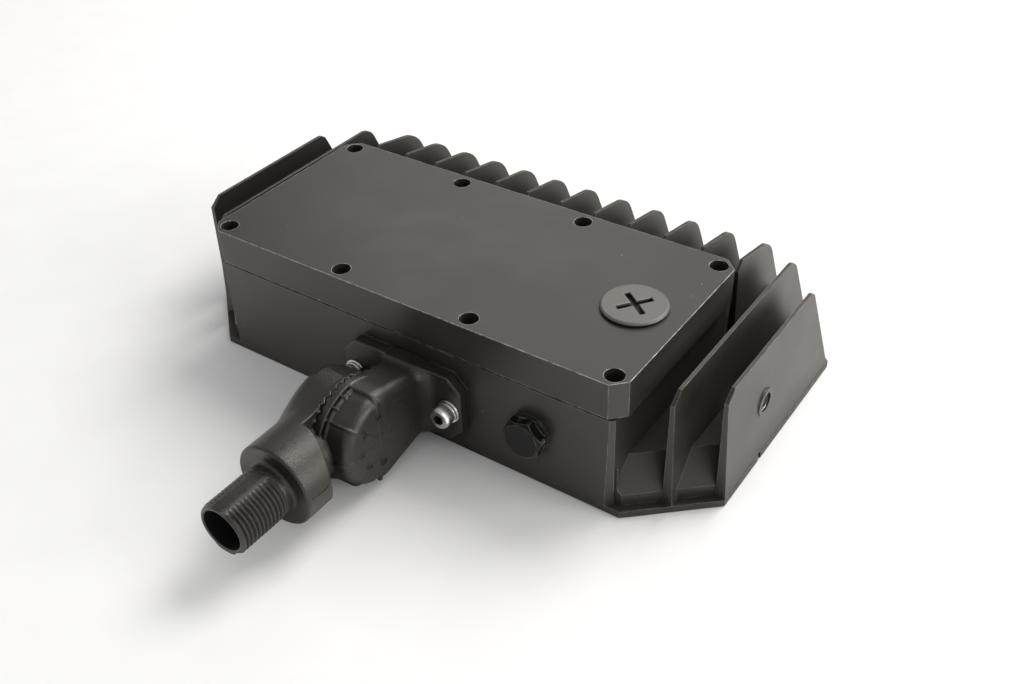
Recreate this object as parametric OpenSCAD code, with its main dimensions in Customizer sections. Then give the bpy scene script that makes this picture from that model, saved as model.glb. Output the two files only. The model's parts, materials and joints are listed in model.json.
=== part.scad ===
/* [Rear cover] */
// Length of the rear cover along X
cover_l = 200; // [194:1:206]
// Width of the rear cover along Y
cover_w = 92; // [90:1:96]
// Height of the rear cover, from its rim to its back
cover_h = 15.6; // [14:0.2:19]
// Wall thickness of the rear cover
cover_wall = 3; // [2.4:0.2:4]
// Chamfer at the four upright corners of the cover
cover_corner = 5.4; // [4.6:0.2:5.8]
// Distance of the end screws from the cover's ends
screw_end = 6.4; // [6:0.2:7.4]
// Distance of the screws from the cover's long sides
screw_side = 5.8; // [5.4:0.2:6.4]
// Distance of the inner screws from the middle of the cover
screw_mid = 31.3; // [26:0.5:36]
// Diameter of the round screw recesses
recess_d = 7.6; // [7.4:0.2:8]
// Depth of the round screw recesses
recess_depth = 11; // [9:0.5:11.5]
// Thickness of the cover's gasket when clamped
gasket_t = 0.5; // [0.4:0.1:1.2]

/* [Closure plug] */
// Distance of the closure plug from the cover's end
plug_end = 20.5; // [20:0.5:26]
// Offset of the closure plug across the cover
plug_y = -1.5; // [-8:0.5:8]
// Diameter of the plug's flange
plug_flange_d = 26.2; // [25.6:0.2:27]
// Height of the plug's flange above the cover
plug_flange_h = 1.8; // [1.6:0.1:2.2]
// Diameter of the plug's threaded shank
plug_shank_d = 20; // [18:0.5:20]
// Length of the plug's threaded shank
plug_shank_l = 8; // [7:0.5:9]
// Length of the arms of the cross slot
slot_l = 14.8; // [12:0.2:16]
// Width of the cross slot
slot_w = 2.4; // [1.8:0.1:3]
// Depth of the cross slot
slot_depth = 1.7; // [1.2:0.1:2.4]
// Turn of the cross slot about the plug's axis
slot_turn = 53; // [0:1:89]

/* [Housing] */
// Height from the front rim to the back of the cover
light_h = 60; // [58:0.5:66]
// Step from the cover's end to the housing's end wall
end_step = 3; // [2:0.5:3.5]
// Wall thickness of the driver box
wall = 3; // [2.6:0.2:3.6]
// Chamfer at the upright corners of the driver box
box_corner = 2.6; // [2:0.2:3]
// Outward lean of the near wall from its top to the front rim
near_draft = 1; // [0.6:0.1:1.4]
// Diameter of the posts round the cover screws
post_d = 9; // [8.6:0.2:10]
// Depth of the threaded holes for the cover screws
cover_thread_l = 14; // [10:0.5:16]

/* [Base and light chamber] */
// Distance from the rear cover's ends to the base plate's ends
end_reach = 31; // [30:0.5:34]
// Distance of the far edge of the base from the driver box's middle
base_far = 108; // [106:0.5:112]
// Thickness of the base plate
base_t = 3; // [2.6:0.2:4]
// Length along X of the near corner cuts
near_cut_x = 29.7; // [28:0.1:31]
// Length along Y of the near corner cuts
near_cut_y = 26.5; // [25:0.1:28]
// Length along X and Y of the far corner cuts
far_cut = 30; // [28:0.5:31]
// Height of the light chamber's block above the front rim
pan_h = 20; // [19.5:0.1:20.5]
// Thickness of the chamber's roof, which carries the board
pan_roof = 5; // [4.8:0.1:5.4]
// Distance of the chamber's block from the base's near edge
pan_near = 3.5; // [3:0.1:4]
// Distance of the chamber's block from the base's ends
pan_side = 4; // [3.6:0.1:4.4]
// Distance of the chamber's block from the base's far edge
pan_far = 14; // [14:0.2:15]
// Height of the ramps at the near corners of the chamber's block
ramp_h = 12; // [8:0.5:12]
// Run of the ramps at the near corners of the chamber's block
ramp_run = 9; // [6:0.5:9]
// Wall between the outside of the chamber's block and the frame's pocket
pan_wall = 3; // [2.6:0.1:3.4]

/* [Fins] */
// Number of fins behind the driver box
fin_count = 12; // [8:2:12]
// Spacing of the fins behind the driver box
fin_pitch = 17.3; // [15:0.1:17.5]
// Spacing of the two fins at each end
end_fin_pitch = 15.2; // [14:0.1:15.5]
// Lean of the end fins' tips towards the middle of the light
end_lean = 1.5; // [0:0.1:2]
// Thickness of a fin at its root
fin_root = 4.2; // [3.6:0.1:4.6]
// Thickness of a fin at its tip
fin_tip = 1.4; // [1.2:0.1:2.4]
// Drop from the cover's back to the tips of the fins
fin_drop = 6.8; // [6:0.2:9]
// Slot between the driver box and the fins behind it
fin_slot = 8.7; // [7:0.1:10]
// Fall of the fins' tips towards the far edge, as rise over run
fin_fall = 0.2; // [0.1:0.01:0.24]
// Slope of the fins' far edges, as run over rise
fin_slope = 0.46; // [0.42:0.01:0.5]
// Radius at the far top corner of the fins behind the driver box
fin_round = 15; // [8:0.5:18]
// Thread diameter of the trunnion holes in the end fins
trunnion_d = 8; // [6:0.5:8]
// Outer diameter of the trunnion bosses
trunnion_boss_d = 13.6; // [12:0.2:15]
// Length of the trunnion bosses behind the end fins
trunnion_boss_l = 4.2; // [3:0.2:5]
// Height of the trunnion holes above the front rim
trunnion_z = 27.2; // [24:0.2:34]
// Distance of the trunnion holes from the driver box's middle
trunnion_y = 11.6; // [0:0.1:20]

/* [Front] */
// Thickness of the lens frame
frame_t = 2.6; // [2.4:0.1:3]
// How far the lens frame lies inside the front rim
frame_sink = 0.4; // [0.3:0.1:0.8]
// Clearance round the lens frame in its pocket
frame_gap = 0.3; // [0.2:0.1:0.5]
// Thickness of the lens glass
glass_t = 3.2; // [3:0.1:3.4]
// Thickness of the lens gasket's lips
lip_t = 0.6; // [0.5:0.1:0.7]
// Distance from the chamber's outside to the lens frame's screws
frame_screw_in = 7.8; // [7.6:0.1:8]
// Spacing of the lens frame's screws along X
frame_pitch = 52; // [40:1:54]
// Distance from the chamber's outside to the lens gasket's pocket
glass_in = 12; // [11.8:0.1:12.4]
// Distance from the chamber's outside to the clear window
window_in = 17; // [16.6:0.1:17.4]
// Columns of LED chips
led_cols = 8; // [4:2:8]
// Rows of LED chips
led_rows = 3; // [1:2:3]
// Distance of the end chips from the board's ends
led_end = 16.75; // [16:0.25:24]
// Distance of the outer rows of chips from the board's long sides
led_side = 17.75; // [16:0.25:24]
// Side of an LED chip
led_size = 5; // [3:0.5:5]
// Height of an LED chip
led_t = 0.9; // [0.6:0.1:1]
// Thickness of the LED board
board_t = 1.6; // [1.2:0.1:1.8]
// Thickness of the thermal pad
pad_t = 0.3; // [0.2:0.05:0.5]
// Depth of the reflector's cups
cup_depth = 4; // [3.4:0.1:4]
// Radius of a reflector cup at the board
cup_r_top = 4.2; // [4:0.1:5]
// Radius of a reflector cup at the glass side
cup_r_mouth = 9.6; // [7:0.1:10]

/* [Driver compartment] */
// Distance of the driver's case from the driver box's left wall
driver_end = 12; // [12:0.5:16]
// Distance of the driver's case from the driver box's right wall
terminal_room = 46; // [46:0.5:60]
// Width of the driver's case
driver_w = 58; // [48:1:60]
// Room between the driver's case and the rear cover
driver_room = 5; // [4.6:0.2:8]
// Length of the driver's mounting tabs
tab_l = 9; // [8.6:0.1:9.4]
// Width of the driver's mounting tabs
tab_w = 14; // [10:0.5:16]
// Thickness of the driver's tabs
tab_t = 2; // [1.6:0.1:2.4]
// Height of the posts under the driver's tabs
tab_post_h = 4; // [3.6:0.1:4.4]
// Length of the terminal block along X
block_l = 20; // [16:0.5:22]
// Height of the terminal block
block_h = 17; // [14:0.5:20]
// Spacing of the terminals
terminal_pitch = 8; // [7:0.1:9]

/* [Knuckle] */
// Height of the knuckle's axis above the front rim
knuckle_z = 22.5; // [21.5:0.1:24]
// Offset along X of the seam between the knuckle's halves
seam_x = 1; // [-1:0.1:1.6]
// Offset along X of the flange's middle
flange_x = 5; // [4.6:0.1:6]
// Length of the flange along X
flange_l = 57.4; // [57:0.2:62]
// Height of the flange
flange_h = 30.2; // [30:0.2:32]
// Corner cut of the flange
flange_corner = 5.9; // [5:0.1:7]
// Thickness of the flange
flange_t = 4.4; // [4:0.1:5.4]
// Thickness of the flange's gasket when clamped
flange_gasket_t = 0.6; // [0.4:0.1:1]
// Distance of the flange screws from the flange's ends
flange_screw_end = 5.4; // [5.2:0.1:5.6]
// Half height of the neck where it meets the flange
neck_h = 14.8; // [13:0.1:15]
// Distance from the flange's face to the tilt axis
hub_reach = 27.3; // [27:0.1:31]
// Radius of the drum half on the flange
hub_r = 20.2; // [19.4:0.1:20.6]
// Length along X of the drum half on the flange
hub_half = 16; // [15.6:0.1:17]
// Radius of the rim of the drum half on the flange
hub_rim = 4.4; // [3.6:0.1:5]
// Radius of the drum half on the arm
arm_hub_r = 20; // [19.4:0.1:20.6]
// Radius of the rim of the drum half on the arm
arm_rim = 5.5; // [4:0.1:6]
// Radius of the toothed collar at the seam
band_r = 21; // [20.8:0.1:21.6]
// Width of the toothed collar on the flange half
band_w = 3.4; // [3:0.1:4]
// Width of the toothed collar on the arm half
arm_band_w = 1.7; // [1.4:0.1:2.2]
// Depth of the panels between the degree ribs
panel_depth = 0.8; // [0.5:0.1:1]
// Inner radius of the panels on the drum's face
panel_in_r = 13.6; // [12:0.1:15]
// Width of a degree rib
rib_w = 1.8; // [1.2:0.1:2.4]
// Number of teeth round the seam
tooth_count = 36; // [24:6:48]
// Height of the teeth at the seam
tooth_h = 0.9; // [0.6:0.1:1.2]
// Inner radius of the ring of teeth
tooth_in_r = 17.4; // [17.2:0.1:18]
// Outer radius of the wire chamber round the pivot
chamber_r = 13; // [12:0.1:13.4]
// Depth of the wire chamber in each drum half
chamber_depth = 8; // [7:0.1:8.4]
// Radius of the boss round the pivot bolt
pivot_boss_r = 6.4; // [6:0.1:6.6]
// Radius of the pivot bolt's thread
pivot_r = 4; // [3.5:0.1:4]
// Radius of the wire passages
passage_r = 4.5; // [3.5:0.1:4.6]
// Distance of the wire passages from the seam
passage_off = 7; // [6.6:0.1:7.4]

/* [Threaded stub] */
// Offset along X of the stub's axis
stub_x = 0.3; // [0:0.1:0.8]
// Radius of the arm's collar
collar_r = 17.1; // [16.6:0.1:17.6]
// Distance from the tilt axis to the collar's face
collar_reach = 40.2; // [39:0.1:44]
// Rounding of the collar's edge
collar_edge = 1.2; // [0.6:0.1:2]
// Radius of the round clearance in the collar round the other drum half
saddle_r = 28; // [27:0.1:29]
// Length of the stub past the collar
stub_l = 25.7; // [23:0.1:32]
// Outer diameter of the half-inch straight pipe thread
thread_d = 21.34; // [21:0.02:21.6]
// Pitch of the pipe thread
thread_pitch = 1.814; // [1.6:0.01:2]
// Depth of the pipe thread
thread_depth = 1.1; // [0.8:0.05:1.15]
// Plain length between the collar and the thread
stub_plain = 3.6; // [2.4:0.1:5]
// Bore diameter of the stub
stub_bore_d = 16.6; // [15.6:0.1:17]
// Depth to which the bore enters the collar
bore_in = 7.5; // [6:0.1:8]
// Height across the casting flats of the thread
flat_h = 20.2; // [19.8:0.1:20.6]
// Width of the smooth strip on each casting flat
flat_w = 6.2; // [4:0.1:7]

/* [Vent and fasteners] */
// Offset along X of the breather vent
vent_x = 61.5; // [56:0.5:66]
// Height of the breather vent above the front rim
vent_z = 23; // [23:0.1:27]
// Width across the flats of the vent's hexagon
vent_hex = 15.8; // [14.8:0.1:16.8]
// Length of the vent's hexagon
vent_hex_l = 4.2; // [3.6:0.1:5.4]
// Diameter of the vent's flange
vent_flange_d = 16.6; // [16.2:0.1:18.4]
// Thickness of the vent's flange
vent_flange_t = 1; // [0.8:0.1:1.4]
// Thickness of the vent's seal
vent_seal_t = 0.5; // [0.3:0.1:0.8]
// Diameter of the vent's threaded stem
vent_stem_d = 12; // [10:0.5:12]
// Turn of the vent's hexagon about its axis
vent_turn = 12; // [0:1:59]
// Radius of the threads of the cover, frame and driver screws
m4_r = 2; // [1.9:0.05:2.1]
// Radius of the threads of the board screws
m3_r = 1.5; // [1.4:0.05:1.6]
// Radius of the threads of the flange screws
m5_r = 2.5; // [2.4:0.05:2.6]
// Length of the flange screws under the head
flange_screw_l = 14; // [12:0.5:16]
// Radial clearance of a screw in its own thread
thread_gap = 0.05; // [0.02:0.01:0.08]
// Radial clearance of a screw in a plain hole
hole_gap = 0.3; // [0.2:0.05:0.4]
// Radius of the inner wires
wire_r = 0.9; // [0.7:0.1:1]

/* [Hidden] */
$fn = 48;

bronze = "#3a3531";
bronze_light = "#5a5148";
steel = "#b9b9b5";
black_plastic = "#151515";
rubber_black = "#1c1c1c";
silicone = "#8f8f8c";
board_white = "#e8e8e2";
silver = "#cfd0d2";

// Amount by which a cutting body reaches past the face that it opens
past = 1;
arc_steps = 6;

// Heights and half widths of the box and the cover
base_near = cover_w/2 + near_draft;
base_l = cover_l + 2*end_reach;
base_x = base_l/2;
cover_z = light_h - cover_h;
rim_z = cover_z - gasket_t;
box_x = cover_l/2 - end_step;
box_y = cover_w/2;
fin_top = light_h - fin_drop;
gasket_inset = 0.8;

// Middle of an end fin at the height of its trunnion hole
trunnion_x = base_x - fin_root/2 - end_lean*trunnion_z/(fin_top + past);

// Cover screws
cover_screw_places = [
  for (x = [screw_end - cover_l/2, -screw_mid, screw_mid, cover_l/2 - screw_end], side = [-1, 1])
    [x, side*(cover_w/2 - screw_side)]
];
head_z = light_h - recess_depth;
recess_wall = 1.6;
m4_head_r = 3.4;
m4_head_h = 2.6;
tip_gap = 1;

// Closure plug and its seal
plug_x = cover_l/2 - plug_end;
plug_bevel = 0.7;
plug_wall = 2.5;
plug_boss_h = 4;
seal_r = 0.8;
seal_gap = 0.05;
seal_out = 1.8;

// Levels inside the front
pocket_z = frame_sink + frame_t;
glass_z = pocket_z + lip_t;
seat_z = glass_z + glass_t + lip_t;
roof_z = pan_h - pan_roof;
board_z = roof_z - pad_t - board_t;
cup_z = board_z - cup_depth;
pan_y0 = pan_near - base_near;
pan_y1 = base_far - pan_far;
window_y = (pan_y0 + pan_y1)/2;
gasket_play = 0.2;
gasket_web = 0.8;
lip_inset = 0.5;
reflector_in = window_in + 1;
board_in = window_in + 4;
board_l = 2*(base_x - pan_side - board_in);
board_w = pan_y1 - pan_y0 - 2*board_in;
led_pitch_x = (board_l - 2*led_end)/(led_cols - 1);
led_pitch_y = (board_w - 2*led_side)/max(1, led_rows - 1);
countersink_r = 3.5;
frame_screw_l = 10;
m3_head_r = 2.7;
m3_head_h = 1.8;
board_screw_l = 3;

// Leads through the roof
connector = [10, 6, 4];
lead_off = 1.6;
lead_hole_r = 2.7;
grommet_r = 4.6;
grommet_flange_r = 6.2;
grommet_flange_t = 1.4;
lead_bend = 3;

// Knuckle, from the wall outwards
flange_pitch = flange_l - 2*flange_screw_end;
flange_y = base_near + flange_gasket_t + flange_t;
hub_y = flange_y + hub_reach;
mouth_reach = collar_reach + stub_l;
centre_y = (hub_y + mouth_reach - base_far)/2;
seam_gap = 0.1;
run_gap = 0.08;
pad_inset = 0.4;
washer_t = 1;
washer_r = 5;
spring_t = 1.2;
spring_r = 4.6;
spring_cut = 1;
cap_head_r = 4.25;
cap_head_h = 5;
hex_socket_r = 2.3;
boss_wall = 3;
boss_cap = 2;
screw_tip_y = flange_y + washer_t + spring_t - flange_screw_l;
passage_z = pan_h + passage_r + 0.5;
passage_start = 9;
stub_off = stub_x - seam_x;
arm_half = collar_r - stub_off + 0.2;
head_floor = chamber_depth + 2.4;
pivot_head_r = 6.5;
pivot_head_h = 5;
pivot_washer_t = 1.6;
counterbore_r = 7.5;
pivot_depth = 12;
groove_r = 15.4;
groove_half = 0.9;
degree_step = 45;
tooth_w = 0.95*2*PI*tooth_in_r/tooth_count;
stub_neck_r = thread_d/2 - 0.5;
root_r = thread_d/2 - thread_depth;
mouth_flare = 0.6;

// Vent
vent_pad_r = vent_flange_d/2 + 0.3;
vent_boss_l = 9;
vent_bevel = 1.4;
vent_wall = 2;
vent_slot = [8.4, 1.4, 1.4];
membrane_t = 0.4;
membrane_in = 3;

// Driver compartment
tab_z = pan_h + tab_post_h;
driver_x0 = wall + driver_end - box_x;
driver_x1 = box_x - wall - terminal_room;
driver_l = driver_x1 - driver_x0;
driver_h = light_h - cover_wall - driver_room - tab_z;
driver_screw_l = 6;
post_r = m4_r + 2.2;
lead_x = driver_x1 + 5;
lead_y = pan_y0 + board_in + 5.5;
lead_z = pan_h + 12;
block_end = 8;
block_x = box_x - wall - block_end - block_l;
block_y = 5;
block_w = 3*terminal_pitch + 2;
well_r = 2.8;
well_depth = 6;
terminal_screw_r = 2.5;
terminal_screw_h = 2.4;
supply_z = pan_h + block_h - 3;
earth_x = block_x + block_l/2;
earth_y = block_y + block_w/2 + 13;
earth_post_h = 6;
lug_r = 4;
lug_t = 0.8;

// Length that the corner cut (cut_l, cut_w) keeps along its first side, moved in by c
function cut_x(cut_l, cut_w, c, side, edge) =
  cut_l - side - (cut_l*edge - c*norm([cut_l, cut_w]))/cut_w;
// Length that the same corner cut keeps along its second side
function cut_y(cut_l, cut_w, c, side, edge) =
  cut_w*(cut_l - side)/cut_l + c*norm([cut_l, cut_w])/cut_l - edge;

// Plan outline with its near and far corners cut off
function octagon(x, y0, y1, near_l, near_w, far_l, far_w) = [
  [near_l - x, y0], [x - near_l, y0], [x, y0 + near_w], [x, y1 - far_w],
  [x - far_l, y1], [far_l - x, y1], [-x, y1 - far_w], [-x, y0 + near_w]
];

// Rectangle with four equal corner cuts, about the origin
function cut_rect(x, y, c) = octagon(x, -y, y, c, c, c, c);

// Outline of the light chamber's block, moved in by k all round
function pan_outline(k) =
  let (side = pan_side + k, near = pan_near + k, far = pan_far + k, far_c = pan_far/sqrt(2) + k)
  octagon(base_x - side, near - base_near, base_far - far,
    cut_x(near_cut_x, near_cut_y, near, side, near), cut_y(near_cut_x, near_cut_y, near, side, near),
    cut_x(far_cut, far_cut, far_c, side, far), cut_y(far_cut, far_cut, far_c, side, far));

// Points that round the corner b between a and c with radius r
function corner_arc(a, b, c, r) =
  let (u = (a - b)/norm(a - b), v = (c - b)/norm(c - b), half = acos(u*v)/2,
    mid = b + (u + v)/norm(u + v)*r/sin(half),
    p = b + u*r/tan(half) - mid, q = b + v*r/tan(half) - mid,
    start = atan2(p.y, p.x), turn = (atan2(q.y, q.x) - start + 540)%360 - 180)
  [for (i = [0:arc_steps]) mid + r*[cos(start + turn*i/arc_steps), sin(start + turn*i/arc_steps)]];

// Outline through corners given as [y, z, radius]
function rounded(list) = [
  for (i = [0:len(list) - 1])
    let (n = len(list), a = list[(i + n - 1)%n], b = list[i], c = list[(i + 1)%n])
    each b[2] > 0 ? corner_arc([a[0], a[1]], [b[0], b[1]], [c[0], c[1]], b[2]) : [[b[0], b[1]]]
];

// Near and far edges of the base at a distance x from the middle
function near_foot(x) = max(0, x - base_x + near_cut_x)*near_cut_y/near_cut_x - base_near;
function far_foot(x) = base_far - max(0, x - base_x + far_cut);

// Sets the model's origin under the middle of its box
module in_place() {
  translate([0, centre_y, 0]) children();
}

// Slab of width w about X = 0 from an outline drawn in (Y, Z)
module along_x(w) {
  rotate([90, 0, 90]) linear_extrude(w, center = true) children();
}

// Rod along X from x0 to x1
module rod_x(r, x0, x1) {
  translate([x0, 0, 0]) rotate([0, 90, 0]) cylinder(r = r, h = x1 - x0);
}

// Rod along Y from y0 to y1
module rod_y(r, y0, y1) {
  translate([0, y1, 0]) rotate([90, 0, 0]) cylinder(r = r, h = y1 - y0);
}

// Upright plate from z0 to z1 with the outline of the chamber's block moved in by k
module pan_plate(k, z0, z1) {
  translate([0, 0, z0]) linear_extrude(z1 - z0) polygon(pan_outline(k));
}

module at_cover_screws() {
  for (place = cover_screw_places) translate([place.x, place.y, 0]) children();
}

module at_flange_screws() {
  for (side = [-1, 1]) translate([flange_x + side*flange_pitch/2, 0, knuckle_z]) children();
}

module at_frame_screws() {
  for (i = [-1.5:1:1.5], y = [pan_y0 + frame_screw_in, pan_y1 - frame_screw_in])
    translate([i*frame_pitch, y, 0]) children();
  for (side = [-1, 1])
    translate([side*(base_x - pan_side - frame_screw_in), window_y, 0]) children();
}

module at_leds() {
  for (i = [0:led_cols - 1], j = [0:led_rows - 1])
    translate([(i - (led_cols - 1)/2)*led_pitch_x, window_y + (j - (led_rows - 1)/2)*led_pitch_y, 0])
      children();
}

// Board screws stand midway between four chips
module at_board_screws() {
  for (i = [-1:1], side = [-1, 1])
    translate([i*(led_cols/2 - 1)*led_pitch_x, window_y + side*led_pitch_y/2, 0]) children();
}

module at_driver_screws() {
  for (x = [driver_x0 - tab_l/2, driver_x1 + tab_l/2]) translate([x, 0, 0]) children();
}

module at_terminals() {
  for (i = [-1:1]) translate([block_x + block_l/2, block_y + i*terminal_pitch, 0]) children();
}

// Screw with a low domed head, head up, with its seat at Z = 0
module screw(r, shank, head_r, head_h) {
  dome = 2.4*head_r;
  difference() {
    union() {
      rotate_extrude() intersection() {
        square([head_r, head_h]);
        translate([0, head_h - dome]) circle(dome);
      }
      translate([0, 0, -shank]) cylinder(r = r - thread_gap, h = shank + head_h/3);
    }
    translate([0, 0, 0.45*head_h]) cylinder(r = 0.5*head_r, h = head_h, $fn = 6);
  }
}

// Ring about Z with its lower face at Z = 0
module ring(r_out, r_in, h) {
  difference() {
    cylinder(r = r_out, h = h);
    translate([0, 0, -past]) cylinder(r = r_in, h = h + 2*past);
  }
}

// Fin at x with the outline in (Y, Z), tapering from root to tip, its tip moved along X by lean
module fin(x, outline, lean = 0) {
  translate([x, 0, 0]) intersection() {
    along_x(2*fin_root) polygon(outline);
    rotate([90, 0, 0]) linear_extrude(4*base_far, center = true) polygon([
      [-fin_root/2, 0], [fin_root/2, 0], [lean + fin_tip/2, fin_top + past],
      [lean - fin_tip/2, fin_top + past]
    ]);
  }
}

// Fin beside the driver box: foot and lean of its near edge, foot and top radius of its far edge
module end_fin(x, near, lean, foot, top_r) {
  cut_up = 4.2;
  cut_in = 5.2;
  top = fin_top - 0.8;
  fin(x, rounded([
    [near, 0, 0], [near - lean, top - cut_up, 0], [near - lean + cut_in, top, 0],
    [foot - fin_slope*top, top, top_r], [foot, 0, 0]
  ]), -sign(x)*end_lean);
}

module fins() {
  near = box_y + fin_slot;
  cut = 4;
  crest = near + cut;
  far_top = (base_far - fin_slope*(fin_top + fin_fall*crest))/(1 - fin_slope*fin_fall);
  for (i = [0:fin_count - 1])
    fin((i - (fin_count - 1)/2)*fin_pitch, rounded([
      [near, 0, 0], [near, fin_top - cut, 0], [crest, fin_top, 0],
      [far_top, fin_top - fin_fall*(far_top - crest), fin_round], [base_far, 0, 0]
    ]));
  x1 = base_x - fin_root/2;
  x2 = x1 - end_fin_pitch;
  foot_in = 0.3;
  intersection() {
    for (side = [-1, 1]) {
      end_fin(side*x1, near_foot(base_x) + foot_in, 0.6, far_foot(base_x), 5);
      end_fin(side*x2, near_foot(x2 + fin_root/2) + foot_in, -2, far_foot(x2), 9);
    }
    linear_extrude(2*fin_top, center = true) polygon(
      octagon(base_x + past, -base_far, base_far, past, past, far_cut + past, far_cut + past));
  }
}

// Outside of the driver box, with its leaning near wall
module box_form() {
  intersection() {
    linear_extrude(rim_z)
      polygon(octagon(box_x, -base_near, box_y, box_corner, box_corner, box_corner, box_corner));
    along_x(2*box_x + past)
      polygon([[-base_near, 0], [-box_y, rim_z], [box_y, rim_z], [box_y, 0]]);
  }
}

// Bosses round the trunnion holes, behind and on the end fins
module trunnion_bosses() {
  for (side = [0, 1]) mirror([side, 0, 0]) translate([0, trunnion_y, trunnion_z]) {
    rod_x(trunnion_boss_d/2, trunnion_x - trunnion_boss_l - 1.4, trunnion_x);
    rod_x(trunnion_boss_d/2 - 1, trunnion_x, trunnion_x + 1.9);
  }
}

// Bosses and pads on the near wall, and posts on the floor of the driver box
module housing_bosses() {
  translate([flange_x, 0, knuckle_z]) rotate([90, 0, 0])
    translate([0, 0, box_y - wall]) linear_extrude(base_near - box_y + wall)
      polygon(cut_rect(flange_l/2 - pad_inset, flange_h/2 - pad_inset, flange_corner));
  at_flange_screws() rod_y(m5_r + boss_wall, -box_y, -screw_tip_y + tip_gap + boss_cap);
  translate([vent_x, 0, vent_z]) {
    rod_y(vent_pad_r, -base_near, -box_y + wall);
    rod_y(vent_stem_d/2 + boss_wall, -box_y, -box_y + vent_boss_l);
  }
  at_driver_screws() translate([0, 0, pan_h - past]) cylinder(r = post_r, h = tab_post_h + past);
  translate([earth_x, earth_y, pan_h - past]) cylinder(r = post_r, h = earth_post_h + past);
}

// What the near corners of the chamber's block lose to their ramps
module near_ramps() {
  foot = pan_h - ramp_h;
  top = pan_near + ramp_run;
  for (side = [0, 1]) mirror([side, 0, 0]) translate([base_x - near_cut_x, -base_near, 0])
    rotate(atan2(near_cut_y, near_cut_x)) rotate([90, 0, 90])
      linear_extrude(norm([near_cut_x, near_cut_y])) polygon([
        [-past, foot], [pan_near, foot], [top, pan_h], [top, pan_h + past], [-past, pan_h + past]
      ]);
}

module housing_solid() {
  linear_extrude(base_t)
    polygon(octagon(base_x, -base_near, base_far, near_cut_x, near_cut_y, far_cut, far_cut));
  difference() {
    pan_plate(0, 0, pan_h);
    near_ramps();
  }
  difference() {
    box_form();
    translate([0, 0, pan_h]) linear_extrude(rim_z)
      polygon(cut_rect(box_x - wall, box_y - wall, box_corner));
  }
  intersection() {
    box_form();
    at_cover_screws() translate([0, 0, pan_h - past]) cylinder(d = post_d, h = rim_z);
  }
  fins();
  trunnion_bosses();
  intersection() {
    housing_bosses();
    translate([0, 0, rim_z/2]) cube([base_l, 2*base_far, rim_z], center = true);
  }
}

module housing() {
  notch = [2, 2, 3.5];
  color(bronze) in_place() difference() {
    housing_solid();
    pan_plate(pan_wall, -past, pocket_z);
    pan_plate(glass_in, -past, seat_z);
    pan_plate(window_in, -past, roof_z);
    at_cover_screws() translate([0, 0, rim_z - cover_thread_l]) cylinder(r = m4_r, h = light_h);
    at_frame_screws() cylinder(r = m4_r, h = frame_sink + frame_screw_l + tip_gap);
    at_board_screws() cylinder(r = m3_r, h = roof_z + board_screw_l + tip_gap/2);
    at_driver_screws()
      translate([0, 0, tab_z - driver_screw_l - tip_gap/2]) cylinder(r = m4_r, h = light_h);
    translate([earth_x, earth_y, pan_h]) cylinder(r = m4_r, h = light_h);
    translate([lead_x, lead_y, 0]) cylinder(r = grommet_r, h = pan_h + past);
    at_flange_screws() rod_y(m5_r, -base_near - past, -screw_tip_y + tip_gap);
    translate([vent_x, 0, vent_z])
      rod_y(vent_stem_d/2, -base_near - past, -box_y + vent_boss_l + past);
    translate([seam_x + passage_off, 0, passage_z])
      rod_y(passage_r, -base_near - past, -box_y + wall + past);
    for (side = [0, 1]) mirror([side, 0, 0]) {
      translate([0, trunnion_y, trunnion_z])
        rod_x(trunnion_d/2, trunnion_x - trunnion_boss_l - 1.4 - past, base_x + past);
      translate([base_x - notch.x/2, trunnion_y - 2, 0])
        cube([notch.x + past, notch.y, 2*notch.z], center = true);
    }
  }
}

module rear_cover() {
  outline = cut_rect(cover_l/2, cover_w/2, cover_corner);
  color(bronze) in_place() difference() {
    union() {
      difference() {
        translate([0, 0, cover_z]) linear_extrude(cover_h) polygon(outline);
        translate([0, 0, cover_z - past]) linear_extrude(cover_h - cover_wall + past)
          polygon(cut_rect(box_x - cover_wall, box_y - cover_wall, box_corner));
      }
      intersection() {
        translate([0, 0, cover_z]) linear_extrude(cover_h) polygon(outline);
        at_cover_screws()
          translate([0, 0, cover_z]) cylinder(r = recess_d/2 + recess_wall, h = cover_h);
      }
      translate([plug_x, plug_y, light_h - cover_wall - plug_boss_h])
        cylinder(r = plug_flange_d/2 + 0.5, h = cover_wall/2 + plug_boss_h);
    }
    at_cover_screws() {
      translate([0, 0, head_z]) cylinder(d = recess_d, h = recess_depth + past);
      translate([0, 0, cover_z - past]) cylinder(r = m4_r + hole_gap, h = cover_h);
    }
    translate([plug_x, plug_y, light_h]) {
      translate([0, 0, -cover_h]) cylinder(d = plug_shank_d, h = cover_h + past);
      translate([0, 0, -2*seal_r])
        ring(plug_shank_d/2 + seal_out + seal_r, plug_shank_d/2 + seal_out - seal_r, cover_h);
    }
  }
}

module cover_gasket() {
  outer = cut_rect(box_x - gasket_inset, box_y - gasket_inset, box_corner);
  color(rubber_black) in_place() translate([0, 0, rim_z]) difference() {
    union() {
      linear_extrude(gasket_t) difference() {
        polygon(outer);
        polygon(cut_rect(box_x - wall, box_y - wall, box_corner));
      }
      intersection() {
        linear_extrude(gasket_t) polygon(outer);
        at_cover_screws() cylinder(d = post_d - gasket_inset, h = gasket_t);
      }
    }
    at_cover_screws() translate([0, 0, -past]) cylinder(r = m4_r + hole_gap, h = gasket_t + 2*past);
  }
}

module cover_screws() {
  color(steel) in_place() at_cover_screws() translate([0, 0, head_z])
    screw(m4_r, head_z - rim_z + cover_thread_l - tip_gap, m4_head_r, m4_head_h);
}

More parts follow.
